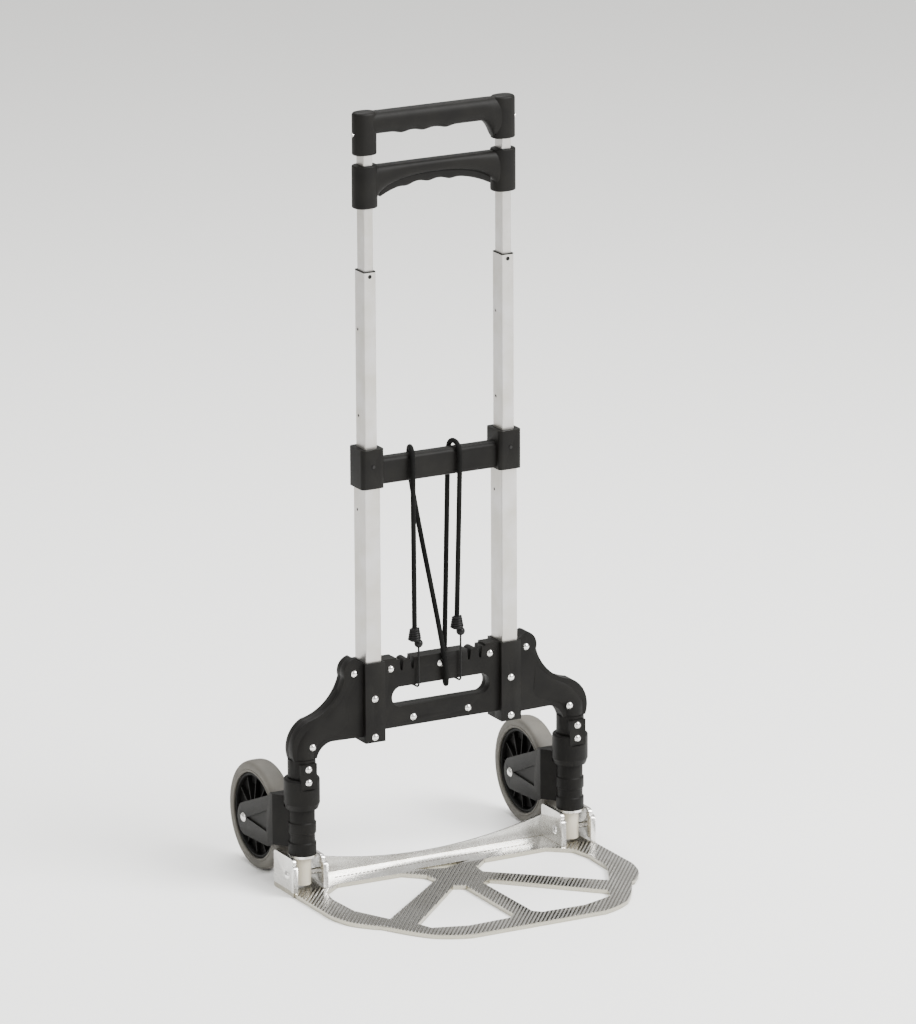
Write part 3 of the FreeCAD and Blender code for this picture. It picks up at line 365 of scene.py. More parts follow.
def smooth_through(points: np.ndarray, count: int) -> np.ndarray:
    """Smooth row through a few given values, by the Catmull-Rom cubic.

    Args:
        points: Values by station, any number of columns.
        count: How many stations to give back.

    Returns:
        The finer row, which passes through every given station.
    """
    ends = np.concatenate([2 * points[:1] - points[1:2], points, 2 * points[-1:] - points[-2:-1]])
    where = np.linspace(0, len(points) - 1 - 1e-9, count)
    start = where.astype(int)
    t = (where - start)[:, None]
    a, b, c, d = (ends[start + k] for k in range(4))
    return 0.5 * (2 * b + (c - a) * t + (2 * a - 5 * b + 4 * c - d) * t ** 2
                  + (3 * b - a - 3 * c + d) * t ** 3)


def rounded_loop(power: np.ndarray, around: int) -> tuple[np.ndarray, np.ndarray]:
    """Superellipse loop: sign(cos) |cos|^(2/power) across and the same of sin up.

    Args:
        power: One exponent per station: 2 is an ellipse, more is squarer.
        around: Number of points round the loop.

    Returns:
        The across and up factors, by station and place round.
    """
    angle = np.linspace(0, 2 * np.pi, around, endpoint=False)[None, :]
    shape = 2.0 / np.asarray(power, float)[:, None]
    across = np.sign(np.cos(angle)) * np.abs(np.cos(angle)) ** shape
    up = np.sign(np.sin(angle)) * np.abs(np.sin(angle)) ** shape
    return across, up


def loft(centres: np.ndarray, across: np.ndarray, up: np.ndarray, power: float | np.ndarray,
         around: int = 48) -> Patch:
    """Rounded sections carried along a row of centres: centre + across * a + up * b.

    Args:
        centres: One point per station.
        across: The first half axis of each section, as a vector.
        up: The second half axis of each section, as a vector.
        power: How square the sections are.
        around: Points round each section.

    Returns:
        The closed surface.
    """
    powers = np.broadcast_to(np.asarray(power, float), (len(centres),))
    a, b = rounded_loop(powers, around)
    grid = centres[:, None] + a[..., None] * across[:, None] + b[..., None] * up[:, None]
    return closed_patch(grid)


def round_tube(path: np.ndarray, radius: float | np.ndarray, reference: tuple[float, float, float],
               around: int = 16) -> Patch:
    """Tube round a path, its sections square to the path's direction.

    Args:
        path: Points of the centre line.
        radius: Radius, one number or an array by station and place round.
        reference: A direction that the path never runs along.
        around: Points round the tube.

    Returns:
        The closed tube.
    """
    ahead = unit(np.gradient(path, axis=0))
    side = np.asarray(reference, float)[None, :]
    side = unit(side - (side * ahead).sum(axis=1, keepdims=True) * ahead)
    up = np.cross(ahead, side)
    angle = np.linspace(0, 2 * np.pi, around, endpoint=False)
    spread = (np.cos(angle)[None, :, None] * side[:, None]
              + np.sin(angle)[None, :, None] * up[:, None])
    reach = np.broadcast_to(np.asarray(radius, float), (len(path), around))[..., None]
    return closed_patch(path[:, None] + spread * reach)


def wheel_ring(profile: np.ndarray, centre: Vector, around: int = 96) -> Patch:
    """Turn a closed profile about the X axis through a centre.

    Args:
        profile: Points as (along the axle, from the axle).
        centre: A point on the axle.
        around: Number of sections round the ring.

    Returns:
        The closed ring.
    """
    angle = np.linspace(0, 2 * np.pi, around, endpoint=False)[:, None]
    along = np.broadcast_to(profile[None, :, 0], (around, len(profile)))
    grid = np.stack([along, profile[None, :, 1] * np.cos(angle),
                     profile[None, :, 1] * np.sin(angle)], axis=-1)
    return closed_patch(grid + np.asarray(centre)[None, None], ring=True)


def tidy_mesh(mesh: bpy.types.Mesh, outward: bool) -> None:
    """Merge doubled points and shade smooth up to a crease.

    Args:
        mesh: The mesh to change.
        outward: True to point its faces outwards too.
    """
    work = bmesh.new()
    work.from_mesh(mesh)
    bmesh.ops.remove_doubles(work, verts=work.verts, dist=WELD)
    if outward:
        bmesh.ops.recalc_face_normals(work, faces=work.faces)
    work.to_mesh(mesh)
    work.free()
    mesh.shade_smooth()
    mesh.set_sharp_from_angle(angle=CREASE)


class Workshop:
    """Makes pieces, gives them their finish and hangs them on the frame's bodies."""

    def __init__(self, frame: dict[str, Any]) -> None:
        """Keep the frame and build every finish once.
        """
        self.frame = frame
        self.materials = {slot: finish.build() for slot, finish in SLOT_FINISHES.items()}
        self.slots = {row["node"]: row["material_slot"] for row in frame["record"]["subparts"]}

    def piece(self, name: str, patches: list[Patch], body: str, slot: str,
              stands_for: tuple[str, ...] = ()) -> bpy.types.Object:
        """Join surfaces into one piece.

        Args:
            name: The piece's name.
            patches: Closed surfaces in the frame's axes.
            body: The body that it moves with.
            slot: The record's material slot.
            stands_for: Frame nodes that it hides.

        Returns:
            The new object, at the origin.
        """
        offsets = np.cumsum([0] + [len(patch.points) for patch in patches[:-1]])
        faces = [tuple(i + int(start) for i in face)
                 for patch, start in zip(patches, offsets) for face in patch.faces]
        mesh = bpy.data.meshes.new(name)
        mesh.from_pydata(np.concatenate([p.points for p in patches]).tolist(), [], faces)
        tidy_mesh(mesh, outward=True)
        return self.finish(name, mesh, body, slot, stands_for)

    def finish(self, name: str, mesh: bpy.types.Mesh, body: str, slot: str,
               stands_for: tuple[str, ...]) -> bpy.types.Object:
        """Put a mesh into the scene with its material.

        Args:
            name: The piece's name.
            mesh: Its mesh.
            body: The body that it moves with.
            slot: The record's material slot.
            stands_for: Frame nodes that it hides.

        Returns:
            The new object.
        """
        thing = bpy.data.objects.new(name, mesh)
        bpy.context.scene.collection.objects.link(thing)
        mesh.materials.clear()
        mesh.materials.append(self.materials[slot])
        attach(thing, body)
        if stands_for:
            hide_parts(*stands_for)
        LOG.info("%s: %d faces on %s", name, len(mesh.polygons), body)
        return thing

    def softened(self, node: str, width_mm: float) -> bpy.types.Object:
        """Moulded twin of a frame node with its hard edges rounded.

        Args:
            node: The frame node to copy and stand for.
            width_mm: Width of the rounded edge.

        Returns:
            The new object.
        """
        source = self.frame["nodes"][node]
        mesh = source.data.copy()
        work = bmesh.new()
        work.from_mesh(mesh)
        bmesh.ops.remove_doubles(work, verts=work.verts, dist=2 * WELD)
        bmesh.ops.dissolve_limit(work, angle_limit=FLAT_ANGLE, verts=work.verts,
                                 edges=work.edges)
        work.to_mesh(mesh)
        work.free()
        mesh.shade_smooth()
        body = source["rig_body"]
        thing = self.finish(f"{node}_moulded", mesh, body, self.slots[node], (node,))
        edge = thing.modifiers.new("rounded_edges", "BEVEL")
        edge.width = width_mm * MM
        edge.segments = 3
        edge.limit_method = "ANGLE"
        edge.angle_limit = CREASE
        edge.use_clamp_overlap = True
        edge.harden_normals = True
        return thing

    def dress(self) -> None:
        """Give every frame node that still shows the finish of its slot."""
        for name, node in self.frame["nodes"].items():
            node.data.materials.clear()
            node.data.materials.append(self.materials[self.slots[name]])


def middle(node: str) -> Vector:
    """Find the centre of a frame node's box.

    Args:
        node: The node's name.

    Returns:
        The centre, in metres.
    """
    low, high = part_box(node)
    return (low + high) / 2


# --- studio ---------------------------------------------------------------------------------------

@dataclass
class Studio:
    """Camera, floor and soft light."""

    azimuth: float = -28.304
    elevation: float = 15.696
    roll: float = -0.26
    across: float = 27.55 * MM
    height: float = 481.06 * MM
    distance: float = 10.32832
    lens: float = 267.886
    floor_half: float = 14.0

    def camera(self, post_plane: float) -> None:
        """Set the camera by its azimuth, elevation, roll, offset in its own plane and distance.

        Args:
            post_plane: Depth of the posts, which the camera's offsets are measured from.
        """
        a, e, r = (math.radians(x) for x in (self.azimuth, self.elevation, self.roll))
        back = Vector((math.sin(a) * math.cos(e), -math.cos(a) * math.cos(e), math.sin(e)))
        level = Vector((math.cos(a), math.sin(a), 0.0))
        upright = level.cross(-back)
        right = level * math.cos(r) + upright * math.sin(r)
        up = upright * math.cos(r) - level * math.sin(r)
        place = right * self.across + up * self.height + back * self.distance
        place.y += post_plane
        data = bpy.data.cameras.new("camera")
        data.lens = self.lens
        data.sensor_width = 36.0
        data.clip_end = 60.0
        camera = bpy.data.objects.new("camera", data)
        turn = Matrix((right, up, back)).transposed().to_4x4()
        camera.matrix_world = Matrix.Translation(place) @ turn
        bpy.context.scene.collection.objects.link(camera)
        bpy.context.scene.camera = camera

    def floor(self) -> None:
        """Plain pale floor, wide enough to fill every view."""
        half = self.floor_half
        mesh = bpy.data.meshes.new("floor")
        mesh.from_pydata([(-half, -half, 0), (half, -half, 0), (half, half, 0), (-half, half, 0)],
                         [], [(0, 1, 2, 3)])
        material = bpy.data.materials.new("painted_floor")
        material.use_nodes = True
        shader = material.node_tree.nodes["Principled BSDF"]
        shader.inputs["Base Color"].default_value = linear("#fdfdfb")
        shader.inputs["Roughness"].default_value = 0.7
        mesh.materials.append(material)
        plane = bpy.data.objects.new("floor", mesh)
        bpy.context.scene.collection.objects.link(plane)

    def lights(self) -> None:
        """White surroundings, a broad key from the front right, a left fill and a top light."""
        world = bpy.data.worlds.new("studio")
        bpy.context.scene.world = world
        world.use_nodes = True
        sky = world.node_tree.nodes["Background"]
        sky.inputs["Color"].default_value = linear("#fffefb")
        sky.inputs["Strength"].default_value = 0.8
        for name, place, power, size in (("key", (2.4, -3.0, 3.4), 500.0, 2.6),
                                         ("fill", (-3.2, -1.2, 2.4), 50.0, 3.0),
                                         ("top", (0.2, 1.2, 4.4), 260.0, 3.0)):
            data = bpy.data.lights.new(name, "AREA")
            data.energy = power
            data.size = size
            lamp = bpy.data.objects.new(name, data)
            lamp.location = place
            lamp.rotation_mode = "QUATERNION"
            aim = Vector((0.0, 0.0, 0.4)) - Vector(place)
            lamp.rotation_quaternion = aim.to_track_quat("-Z", "Y")
            bpy.context.scene.collection.objects.link(lamp)


# --- bungee cord ----------------------------------------------------------------------------------

@dataclass
class Bungee:
    """Elastic cord wound over the crossbar, with a wound ferrule, a bead and a hook on each end."""

    shop: Workshop
    post_plane: float
    radius: float = 3.5 * MM
    length: float = 1.2211
    strand_depth: float = 0.22 * MM
    strand_pitch: float = 9.0 * MM
    strands: int = 8
    around: int = 32
    coil_turns: float = 5.0
    coil_wire: float = 1.7 * MM
    stations: int = 1400
    coil_reach_mm: tuple[float, float] = (5.2, 2.6)
    core_reach_mm: tuple[float, float] = (6.4, 1.8)
    coil_foot: float = 17.4 * MM
    coil_rise: float = 15.6 * MM
    core_foot: float = 18.6 * MM
    core_rise: float = 17.6 * MM

    def route(self) -> np.ndarray:
        """Points from the left hook over the crossbar, round the rail and back: x, depth, height."""
        points = np.array([
            (-42, -16.5, 349), (-42.3, -15.2, 553), (-42.5, -15, 595), (-33.5, 15, 595),
            (-31, 16, 546), (4, -18.5, 300), (5.5, -18.5, 259.3), (19.5, 15.5, 259.3),
            (20.4, 15.0, 303), (26.1, 14.8, 553), (27, 15, 595), (29, -15, 595),
            (28.5, -15.2, 553), (22.5, -16.5, 357)]) * MM
        return points + np.array([0.0, self.post_plane, 0.0])

    def centre_line(self) -> np.ndarray:
        """Points along the smooth spline that the route controls."""
        curve = bpy.data.curves.new("cord_route", "CURVE")
        curve.dimensions = "3D"
        curve.resolution_u = 64
        spline = curve.splines.new("NURBS")
        route = self.route()
        spline.points.add(len(route) - 1)
        weighted = np.c_[route, np.ones(len(route))].astype(np.float32)
        spline.points.foreach_set("co", weighted.ravel())
        spline.order_u = 3
        spline.use_endpoint_u = True
        line = bpy.data.objects.new("cord_route", curve)
        mesh = bpy.data.meshes.new_from_object(line)
        found = np.empty(len(mesh.vertices) * 3, np.float32)
        mesh.vertices.foreach_get("co", found)
        bpy.data.objects.remove(line)
        bpy.data.meshes.remove(mesh)
        return found.reshape(-1, 3).astype(float)

    def build(self) -> None:
        path = self.centre_line()
        run = np.r_[0, np.cumsum(np.linalg.norm(np.diff(path, axis=0), axis=1))]
        even = np.linspace(0, run[-1], self.stations)
        path = np.stack([np.interp(even, run, path[:, k]) for k in range(3)], axis=1)
        angle = np.linspace(0, 2 * np.pi, self.around, endpoint=False)[None, :]
        twist = 2 * np.pi * even[:, None] / self.strand_pitch
        crossing = np.cos(self.strands * angle + twist) * np.cos(self.strands * angle - twist)
        reach = self.radius - self.strand_depth * (0.5 - 0.5 * crossing)
        skin = round_tube(path, reach, (1, 0, 0), self.around)
        cord = self.shop.piece("bungee_cord_braid", [skin], "frame", "cord_braid", ("bungee_cord",))
        self.map_along(cord)
        route = self.route()
        ends = []
        for side, top in (("left", route[0]), ("right", route[-1])):
            ends += self.end(side, top)

    def map_along(self, cord: bpy.types.Object) -> None:
        """UV map in metres whose u is the height above the floor and v is x + y.

        Args:
            cord: The cord's piece.
        """
        mesh = cord.data
        points = np.empty(len(mesh.vertices) * 3, np.float32)
        mesh.vertices.foreach_get("co", points)
        points = points.reshape(-1, 3)
        corners = np.empty(len(mesh.loops), np.int32)
        mesh.loops.foreach_get("vertex_index", corners)
        flat = np.stack([points[corners, 2], points[corners, 0] + points[corners, 1]], axis=1)
        layer = mesh.uv_layers.new(name="along")
        layer.data.foreach_set("uv", flat.astype(np.float32).ravel())

    def end(self, side: str, top: np.ndarray) -> list[bpy.types.Object | str]:
        """Wound ferrule on one end; its bead and hook stay the frame's own.

        The reach of the coil and of the core is the first number, plus or less the second as the
        ferrule tapers.

        Args:
            side: "left" or "right".
            top: Where the cord leaves the ferrule.

        Returns:
            The ferrule, and the names of the bead and the hook.
        """
        t = np.linspace(0, 1, 260)
        turn = 2 * np.pi * self.coil_turns * t
        coil_top, coil_flare = self.coil_reach_mm
        core_foot, core_taper = self.core_reach_mm
        reach = (coil_top + coil_flare * (1 - t)) * MM
        height = top[2] - self.coil_foot + self.coil_rise * t
        coil = np.stack([top[0] + reach * np.cos(turn), top[1] + reach * np.sin(turn), height], 1)
        core = np.linspace(0, 1, 8)
        inner = np.stack([np.full(8, top[0]), np.full(8, top[1]),
                          top[2] - self.core_foot + self.core_rise * core], axis=1)
        patches = [round_tube(coil, self.coil_wire, (0, 0, 1), 12),
                   round_tube(inner, ((core_foot - core_taper * core) * MM)[:, None],
                              (1, 0, 0), 24)]
        wound = self.shop.piece(f"{side}_cord_ferrule_wound", patches, "frame", "coated_wire",
                                (f"{side}_cord_ferrule",))
        return [wound, f"{side}_cord_bead", f"{side}_cord_hook"]


# --- handle and release ---------------------------------------------------------------------------

@dataclass
class Handle:
    """Top handle, arched release housing and the finger-grooved trigger in it."""

    shop: Workshop
    post_plane: float
    tube_x: float
    leg_half: float = 16.6 * MM
    leg_depth: float = 12.8 * MM
    leg_power: float = 2.35
    grip_depth: float = 12.0 * MM
    grip_foot: float = 1028.6 * MM
    finger: float = 2.6 * MM
    finger_width: float = 9.0 * MM
    edge: float = 2.2 * MM
    grip_fingers_mm: tuple[float, ...] = (-50, -18, 16)
    grip_gap: float = 0.8 * MM
    flare_start: float = 66 * MM
    flare_run: float = 20 * MM
    flare_drop: float = 23 * MM
    leg_dome: float = 4.5 * MM
    arch_half: float = 90 * MM
    arch_foot: float = 6.6 * MM
    arch_rise: float = 31.5 * MM
    collar_half: float = 17.0 * MM
    collar_depth: float = 14.3 * MM
    collar_dome: float = 2.4 * MM
    housing_gap: float = 2.0 * MM
    trigger_half: float = 82 * MM
    trigger_span: float = 84 * MM
    trigger_foot_mm: float = 959.0
    trigger_droop_mm: float = 17.0
    trigger_finger: float = 2.8 * MM
    trigger_fingers_mm: tuple[float, ...] = (-42, -10, 22)
    trigger_tuck: float = 3.0 * MM
    trigger_depth: float = 5.6 * MM

    def column(self, x: float, low: float, high: float, half: float, depth: float,
               dome: float) -> Patch:
        """Upright rounded block whose ends curve in: half width less edge * (1 - sqrt(1 - t^2)).

        Args:
            x: Where it stands.
            low: Height of its foot.
            high: Height of its head.
            half: Half its width.
            depth: Half its depth.
            dome: How far its head curves in.

        Returns:
            The closed block.
        """
        t = np.linspace(0, 1, 7)
        curve = 1 - np.sqrt(1 - (1 - t) ** 2)
        heights = np.r_[low + self.edge * t, high - dome * t[::-1]]
        inset = np.r_[self.edge * curve, dome * curve[::-1]]
        centres = np.stack([np.full(14, x), np.full(14, self.post_plane), heights], axis=1)
        zero = np.zeros(14)
        return loft(centres, np.stack([half - inset, zero, zero], 1),
                    np.stack([zero, depth - inset, zero], 1), self.leg_power, 56)

    def bar(self, x: np.ndarray, low: np.ndarray, high: np.ndarray, depth: np.ndarray,
            power: float) -> Patch:
        """Bar along X between a lower and an upper edge, with rounded sections.

        Args:
            x: Stations along the bar.
            low: Lower edge at each station.
            high: Upper edge at each station.
            depth: Half depth at each station.
            power: How square the sections are.

        Returns:
            The closed bar.
        """
        centres = np.stack([x, np.full(len(x), self.post_plane), (low + high) / 2], axis=1)
        zero = np.zeros(len(x))
        return loft(centres, np.stack([zero, depth, zero], 1),
                    np.stack([zero, zero, (high - low) / 2], 1), power, 48)

    def fingers(self, x: np.ndarray, places: tuple[float, ...]) -> np.ndarray:
        """Sum smooth bumps, exp(-(distance / width)^2), one between each two fingers.

        Args:
            x: Stations along the bar.
            places: Where the bumps are, in millimetres.

        Returns:
            The sum at each station: one at a bump and none far from it.
        """
        return sum(np.exp(-((x - place * MM) / self.finger_width) ** 2) for place in places)

    def top(self) -> None:
        """Grip with finger bumps, flowing into the right leg, between two domed legs."""
        low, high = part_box("top_handle")
        x = np.linspace(-self.tube_x, self.tube_x, 180)
        foot = self.grip_foot - self.finger * self.fingers(x, self.grip_fingers_mm)
        flare = np.clip((x - self.flare_start) / self.flare_run, 0, 1)
        foot = foot - self.flare_drop * flare ** 2.4
        head = np.full(len(x), high.z - self.grip_gap)
        depth = np.full(len(x), self.grip_depth)
        patches = [self.bar(x, foot, head, depth, 2.7)]
        for _, sign in SIDES:
            patches.append(self.column(sign * self.tube_x, low.z, high.z, self.leg_half,
                                       self.leg_depth, self.leg_dome))
        self.shop.piece("top_handle_moulded", patches, "inner_stage", "black_nylon",
                        ("top_handle",))

    def arch(self, x: np.ndarray) -> np.ndarray:
        """Lower edge of the housing: an arc from the collars up to the middle.

        Args:
            x: Stations along the housing.

        Returns:
            The edge's height at each station.
        """
        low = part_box("release_front_shell")[0].z
        rise = np.sqrt(np.clip(1 - (np.abs(x) / self.arch_half) ** 2.3, 0, 1))
        return low + self.arch_foot + self.arch_rise * rise

    def housing(self) -> None:
        """Arched housing between two collars."""
        low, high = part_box("release_front_shell")
        x = np.linspace(-self.tube_x, self.tube_x, 160)
        head = np.full(len(x), high.z - self.housing_gap)
        depth = (11.0 + 2.0 * (np.abs(x) / self.tube_x) ** 4) * MM
        patches = [self.bar(x, self.arch(x), head, depth, 3.0)]
        for _, sign in SIDES:
            patches.append(self.column(sign * self.tube_x, low.z, high.z, self.collar_half,
                                       self.collar_depth, self.collar_dome))
        self.shop.piece("release_housing", patches, "inner_stage", "black_nylon",
                        ("release_front_shell", "release_rear_shell"))

    def trigger(self) -> None:
        """Squeeze bar whose lower edge has finger bumps; its top is hidden in the housing."""
        x = np.linspace(-self.trigger_half, self.trigger_half, 160)
        spread = np.abs(x) / self.trigger_span
        foot = (self.trigger_foot_mm - self.trigger_droop_mm * spread ** 2.6) * MM
        foot = foot - self.trigger_finger * self.fingers(x, self.trigger_fingers_mm)
        head = np.maximum(self.arch(x) + self.trigger_tuck, foot + self.trigger_tuck)
        depth = np.full(len(x), self.trigger_depth)
        self.shop.piece("release_trigger_moulded", [self.bar(x, foot, head, depth, 3.2)],
                        "release", "black_nylon", ("release_trigger",))

    def build(self) -> None:
        """Make the three."""
        self.top()
        self.housing()
        self.trigger()


# --- base block -----------------------------------------------------------------------------------

@dataclass
class BaseBlock:
    """Riveted block with a gooseneck on each side."""

    shop: Workshop
    post_plane: float
    edge_mm: float = 1.3
    stations: int = 44

    def neck(self, sign: float) -> Patch:
        """Gooseneck: from the flat wing round to the upright socket.

        Each station is the upper edge and the lower edge (across, height), the half depth and the
        centre's depth behind the post plane, all in millimetres.

        Args:
            sign: -1 for the left one and 1 for the right one.

        Returns:
            The closed gooseneck.
        """
        rows = np.array([
            (147, 284, 140, 211, 11.0, -1.8), (157, 269, 148, 210, 11.8, -1.7),
            (175, 250.5, 159, 209, 12.8, -1.3), (194, 239.5, 170, 207.5, 14.0, -0.8),
            (208, 229, 179, 204, 15.2, -0.3), (217.5, 217, 185, 200, 16.2, 0.0),
            (222, 205, 188, 195, 17.0, 0.0), (223, 192, 188.2, 189.5, 17.4, 0.0),
            (223, 184, 188, 184, 17.4, 0.0)])
        fine = smooth_through(rows, self.stations) * MM
        upper = np.stack([sign * fine[:, 0], fine[:, 5] + self.post_plane, fine[:, 1]], axis=1)
        lower = np.stack([sign * fine[:, 2], fine[:, 5] + self.post_plane, fine[:, 3]], axis=1)
        zero = np.zeros(self.stations)
        power = np.linspace(3.4, 2.0, self.stations)
        return loft((upper + lower) / 2, (upper - lower) / 2,
                    np.stack([zero, fine[:, 4], zero], axis=1), power, 48)

    def build(self) -> None:
        """Round the shells' edges and add the goosenecks."""
        for node in ("base_front_shell", "base_rear_shell", "tube_bracket"):
            self.shop.softened(node, self.edge_mm)
        for side, sign in SIDES:
            self.shop.piece(f"{side}_gooseneck", [self.neck(sign)], "frame", "black_nylon")


# --- wheels ---------------------------------------------------------------------------------------

@dataclass
class Wheels:
    """Tyres, rims and forks."""

    shop: Workshop
    tyre_half: float = 15.0 * MM
    outer: float = 75.0 * MM
    inner: float = 58.8 * MM
    lip: float = 2.0 * MM
    spoke_half: float = 0.9 * MM
    spoke_count: int = 12
    hub_end: tuple[float, float] = (12 * MM, 13 * MM)
    rim_end: tuple[float, float] = (56 * MM, 9 * MM)

    def tyre(self, side: str) -> None:
        """Rounded tread, superellipse of power 3, with a lip beside the rim on each face.

        Args:
            side: "left" or "right".
        """
        centre = middle(f"{side}_tyre")
        power = 2 / 3.0
        angle = np.linspace(0, 2 * np.pi, 64, endpoint=False)
        half = self.tyre_half - 0.4 * MM
        across = np.sign(np.cos(angle)) * np.abs(np.cos(angle)) ** power * half
        radial = np.sign(np.sin(angle)) * np.abs(np.sin(angle)) ** power
        reach = (self.outer + self.inner) / 2 + radial * (self.outer - self.inner) / 2
        patches = [wheel_ring(np.stack([across, reach], axis=1), centre)]
        small = np.linspace(0, 2 * np.pi, 20, endpoint=False)
        for _, sign in SIDES:
            edge = sign * (self.tyre_half - self.lip)
            profile = np.stack([edge + self.lip * np.cos(small),
                                self.inner + 2.4 * MM + self.lip * np.sin(small)], axis=1)
            patches.append(wheel_ring(profile, centre))
        self.shop.piece(f"{side}_tyre_tread", patches, f"{side}_wheel", "grey_tyre",
                        (f"{side}_tyre",))

    def spokes(self, side: str) -> None:
        """Thin ribs from the hub to the rim on both faces: flat bars turned about the axle.

        Each end of a rib is its distance from the axle and half its width along the axle.

        Args:
            side: "left" or "right".
        """
        centre = np.asarray(middle(f"{side}_rim"))
        patches = []
        for angle in np.arange(self.spoke_count) * 2 * np.pi / self.spoke_count:
            out = np.array([0.0, math.cos(angle), math.sin(angle)])
            turn = np.array([0.0, -math.sin(angle), math.cos(angle)])
            half = turn * self.spoke_half
            ends = [(centre + out * away, reach) for away, reach in (self.hub_end, self.rim_end)]
            sections = [[end + half * a + np.array([b * reach, 0, 0])
                         for a, b in ((-1, -1), (1, -1), (1, 1), (-1, 1))] for end, reach in ends]
            patches.append(closed_patch(np.array(sections)))
        self.shop.piece(f"{side}_rim_spokes", patches, f"{side}_wheel", "rim_nylon")

    def build(self) -> None:
        """Make both sides."""
        for side, _ in SIDES:
            self.tyre(side)
            self.spokes(side)
            self.shop.softened(f"{side}_rim", 0.8)
            self.shop.softened(f"{side}_wheel_fork", 1.2)


# --- toe plate ------------------------------------------------------------------------------------

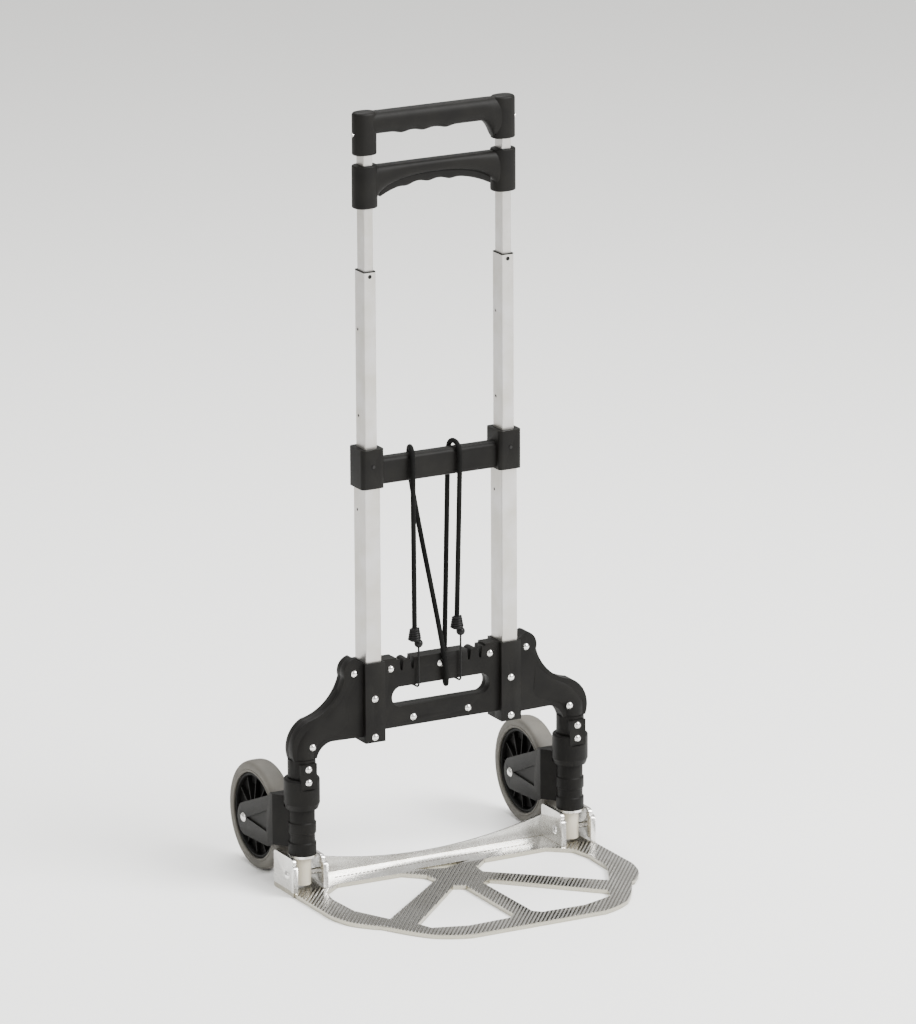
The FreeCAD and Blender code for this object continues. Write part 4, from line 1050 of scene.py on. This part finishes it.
@dataclass
class ToePlate:
    """Cast plate with a ribbed deck, its ribs drawn a little coarser than real so that they show."""

    shop: Workshop
    post_plane: float
    slope: float = math.radians(51)
    pitch: float = 5.0 * MM
    width: float = 2.6 * MM
    height: float = 0.9 * MM
    margin: float = 1.5 * MM
    plain_band: float = -0.016
    step: float = 1.0 * MM
    sink: float = 0.2 * MM
    stitch_half_mm: int = 150
    stitch_pitch_mm: float = 6.0
    stitch_length: float = 3.6 * MM
    stitch_back: float = 12 * MM

    def deck(self) -> np.ndarray:
        """Find the deck's upper face.

        Returns:
            Its triangles seen from above, as (x, y) by triangle and corner.
        """
        mesh = self.shop.frame["nodes"]["toe_plate"].data
        points = np.empty(len(mesh.vertices) * 3, np.float32)
        mesh.vertices.foreach_get("co", points)
        mesh.calc_loop_triangles()
        corners = np.empty(len(mesh.loop_triangles) * 3, np.int32)
        mesh.loop_triangles.foreach_get("vertices", corners)
        triangles = points.reshape(-1, 3)[corners.reshape(-1, 3)]
        flat = np.all(np.abs(triangles[:, :, 2] - DECK_TOP) < 10 * WELD, axis=1)
        return triangles[flat][:, :, :2].astype(float)

    def inside(self, points: np.ndarray, triangles: np.ndarray) -> np.ndarray:
        """Test which points are in some triangle, on the same side of all three edges.

        Args:
            points: Points as (x, y).
            triangles: Triangles as (x, y) by triangle and corner.

        Returns:
            True for each point that is in one.
        """
        found = np.zeros(len(points), bool)
        for a, b, c in triangles:
            signs = []
            for p, q in ((a, b), (b, c), (c, a)):
                edge = q - p
                signs.append(edge[0] * (points[:, 1] - p[1]) - edge[1] * (points[:, 0] - p[0]))
            low = np.minimum(np.minimum(signs[0], signs[1]), signs[2])
            high = np.maximum(np.maximum(signs[0], signs[1]), signs[2])
            found |= (low >= 0) | (high <= 0)
        return found

    def first_rib(self, triangles: np.ndarray, square: np.ndarray) -> float:
        """Find where the first rib's line lies, measured square to the ribs.

        Args:
            triangles: The deck's triangles.
            square: Unit vector square to the ribs.

        Returns:
            The line's offset, in metres.
        """
        return float((triangles.reshape(-1, 2) @ square).min())

    def ribs(self) -> list[Patch]:
        """Low ridges of triangular section along parallel lines, wherever the deck is solid."""
        triangles = self.deck()
        along = np.array([math.cos(self.slope), math.sin(self.slope)])
        square = np.array([-along[1], along[0]])
        corners = triangles.reshape(-1, 2)
        offsets = np.arange(self.first_rib(triangles, square), (corners @ square).max(), self.pitch)
        places = np.arange((corners @ along).min(), (corners @ along).max(), self.step)
        grid = offsets[:, None, None] * square + places[None, :, None] * along
        solid = self.inside(grid.reshape(-1, 2), triangles).reshape(grid.shape[:2])
        solid &= grid[..., 1] < self.post_plane + self.plain_band
        padded = np.pad(solid.astype(int), ((0, 0), (1, 1)))
        rows, starts = np.nonzero(np.diff(padded, axis=1) == 1)
        stops = np.nonzero(np.diff(padded, axis=1) == -1)[1]
        patches = []
        for row, start, stop in zip(rows, starts, stops):
            first, last = places[start] + self.margin, places[stop - 1] - self.margin
            if last - first > 2 * self.pitch:
                base = offsets[row] * square
                patches.append(self.ridge(base + first * along, base + last * along, square))
        return patches

    def ridge(self, start: np.ndarray, stop: np.ndarray, square: np.ndarray) -> Patch:
        """Raise one ridge between two points of the deck, its foot sunk a little into it.

        Args:
            start: One end, as (x, y).
            stop: The other end.
            square: Unit vector square to the ridge.

        Returns:
            The closed ridge.
        """
        half = square * self.width / 2
        foot, head = DECK_TOP - self.sink, DECK_TOP + self.height
        sections = [[(*(end - half), foot), (*(end + half), foot), (*end, head)]
                    for end in (start, stop)]
        return closed_patch(np.array(sections))

    def stitch(self) -> list[Patch]:
        """Row of short raised dashes across the plain band."""
        along, square = np.array([1.0, 0.0]), np.array([0.0, 1.0])
        patches = []
        for x in np.arange(-self.stitch_half_mm, self.stitch_half_mm + 1,
                           self.stitch_pitch_mm) * MM:
            start = np.array([x, self.post_plane + self.stitch_back])
            patches.append(self.ridge(start, start + self.stitch_length * along, square))
        return patches

    def build(self) -> None:
        """Round the casting's edges and raise its ribs."""
        plate = self.shop.softened("toe_plate", 0.7)
        square = np.array([-math.sin(self.slope), math.cos(self.slope)])
        first = self.first_rib(self.deck(), square)
        # The deck's material paints shade between the ribs and on the plate's side faces.
        deck = RibbedCastPaintedShade("ribbed_cast_deck_painted_shade", self.post_plane, first, self.slope, self.pitch,
                          self.plain_band)
        plate.data.materials[0] = deck.build()
        self.shop.piece("toe_plate_ribs", self.ribs(), "toe", "cast_plate")
        seam = self.shop.piece("toe_plate_seam", self.stitch(), "toe", "cast_plate")
        # The seam's dashes take the grey finish as painted shade, standing in for the shadow in its
        # dimples.
        seam.data.materials[0] = GROOVE_SHADE_CAST.build()


# --- the whole truck ------------------------------------------------------------------------------

def main() -> None:
    """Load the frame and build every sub-assembly round it."""
    logging.basicConfig(level=logging.INFO, format="%(message)s")
    for thing in list(bpy.data.objects):
        bpy.data.objects.remove(thing)
    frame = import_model()
    post_plane = middle("left_post_pin").y
    tube_x = middle("right_inner_tube").x
    studio = Studio()
    studio.camera(post_plane)
    shop = Workshop(frame)
    Bungee(shop, post_plane).build()
    studio.floor()
    studio.lights()
    shop.dress()
    Handle(shop, post_plane, tube_x).build()
    BaseBlock(shop, post_plane).build()
    Wheels(shop).build()
    ToePlate(shop, post_plane).build()
    bpy.context.view_layer.update()


if __name__ == "__main__":
    main()
